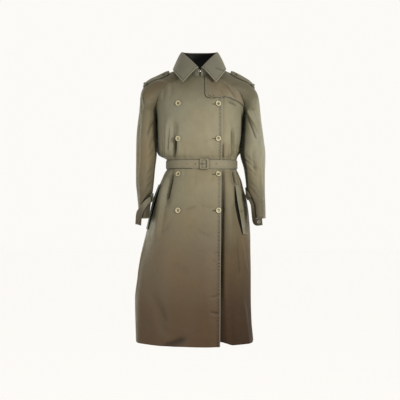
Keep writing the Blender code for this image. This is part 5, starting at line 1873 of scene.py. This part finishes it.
# Near-black spindles and discs laid on the cloth: painted shade for the holes.
cut_shadows = hard_piece("cut_shadows", vertices, faces, lining_and_painted_shade)
worked_edges = sew("worked_edges", edge_paths, EDGE_SIZES)

# %% [markdown]
# ## Where each piece belongs
#
# The coat has no joint, so every piece rides on its one body. Each made piece stands for the solid of the frame that
# it replaces, and that solid is hidden. The table also lists the solid's material slot and, where it is cloth, how
# large it was cut, but these are not used here.

# %% Cloth pieces
# piece, solid, slot, cut width and length, cut area, how it is held, what it hangs from or lies on
cloth_pieces = [
    (front_right, "front_right", "gabardine", (0.460, 1.235), 0.407, "hung", ["sleeve_with_shoulder_right"]),
    (front_left, "front_left", "gabardine", (0.400, 1.210), 0.368, "hung", ["sleeve_with_shoulder_left"]),
    (back, "back", "gabardine", (0.745, 1.280), 0.640, "hung", ["sleeve_with_shoulder_left"]),
    (sleeves_made[LEFT], "sleeve_left", "gabardine", (0.390, 0.755), 0.212, "hung", ["collar_band"]),
    (sleeves_made[RIGHT], "sleeve_right", "gabardine", (0.370, 0.755), 0.209, "hung", ["collar_band"]),
    (fall, "collar_fall", "gabardine_collar", (0.100, 0.635), 0.051, "folded", ["collar_band"]),
    (stand, "collar_stand", "gabardine_collar", (0.065, 0.510), 0.0268, "folded", ["back_panel"]),
    (flap, "storm_flap", "gabardine", (0.165, 0.120), 0.0116, "hung", ["left_front"]),
    (belt, "belt", "gabardine_strap", (0.031, 1.055), 0.0327, "laid", ["back_panel", "right_front"]),
]
SMALL_CUTS = {  # of the paired small pieces, in the order of the loop below
    LEFT: (
        ((0.036, 0.202), 0.0070), ((0.011, 0.202), 0.0015), ((0.044, 0.138), 0.0049),
        ((0.070, 0.010), 0.0006), ((0.034, 0.304), 0.0082), ((0.050, 0.034), 0.0014),
    ),
    RIGHT: (
        ((0.035, 0.191), 0.0064), ((0.011, 0.191), 0.0014), ((0.044, 0.144), 0.0051),
        ((0.071, 0.010), 0.0006), ((0.030, 0.286), 0.0069), ((0.041, 0.028), 0.0010),
    ),
}
for side, name in SIDES.items():
    small_pieces = (
        (welts, "pocket_welt", "gabardine", "laid", f"{name}_front"),
        (mouth_shades, "pocket_mouth", "pocket_lining", "laid", f"{name}_front"),
        (shoulder_straps, "epaulette", "gabardine_strap", "laid", f"sleeve_with_shoulder_{name}"),
        (shoulder_carriers, "epaulette_loop", "gabardine_strap", "folded", f"shoulder_strap_{name}"),
        (cuff_straps, "cuff_strap", "gabardine_strap", "laid", f"sleeve_with_shoulder_{name}"),
        (cuff_carriers, "cuff_loop", "gabardine_strap", "folded", f"sleeve_strap_{name}"),
    )
    for (pair, node, slot, held, under_it), (cut, area) in zip(small_pieces, SMALL_CUTS[side]):
        cloth_pieces.append((pair[side], f"{node}_{name}", slot, cut, area, held, [under_it]))


def belongs(piece, node):
    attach(piece, "root")
    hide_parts(node)


for piece, node, slot, cut, area, held, under_it in cloth_pieces:
    belongs(piece, node)

# %% Hard pieces and thread
belongs(buckle, "buckle_frame")
belongs(prong, "buckle_prong")
belongs(hook, "throat_hook")
for node, piece in buttons.items():
    belongs(piece, node)
for piece, slot in ((topstitching, "thread"), (worked_edges, "thread"), (cut_shadows, "pocket_lining")):
    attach(piece, "root")
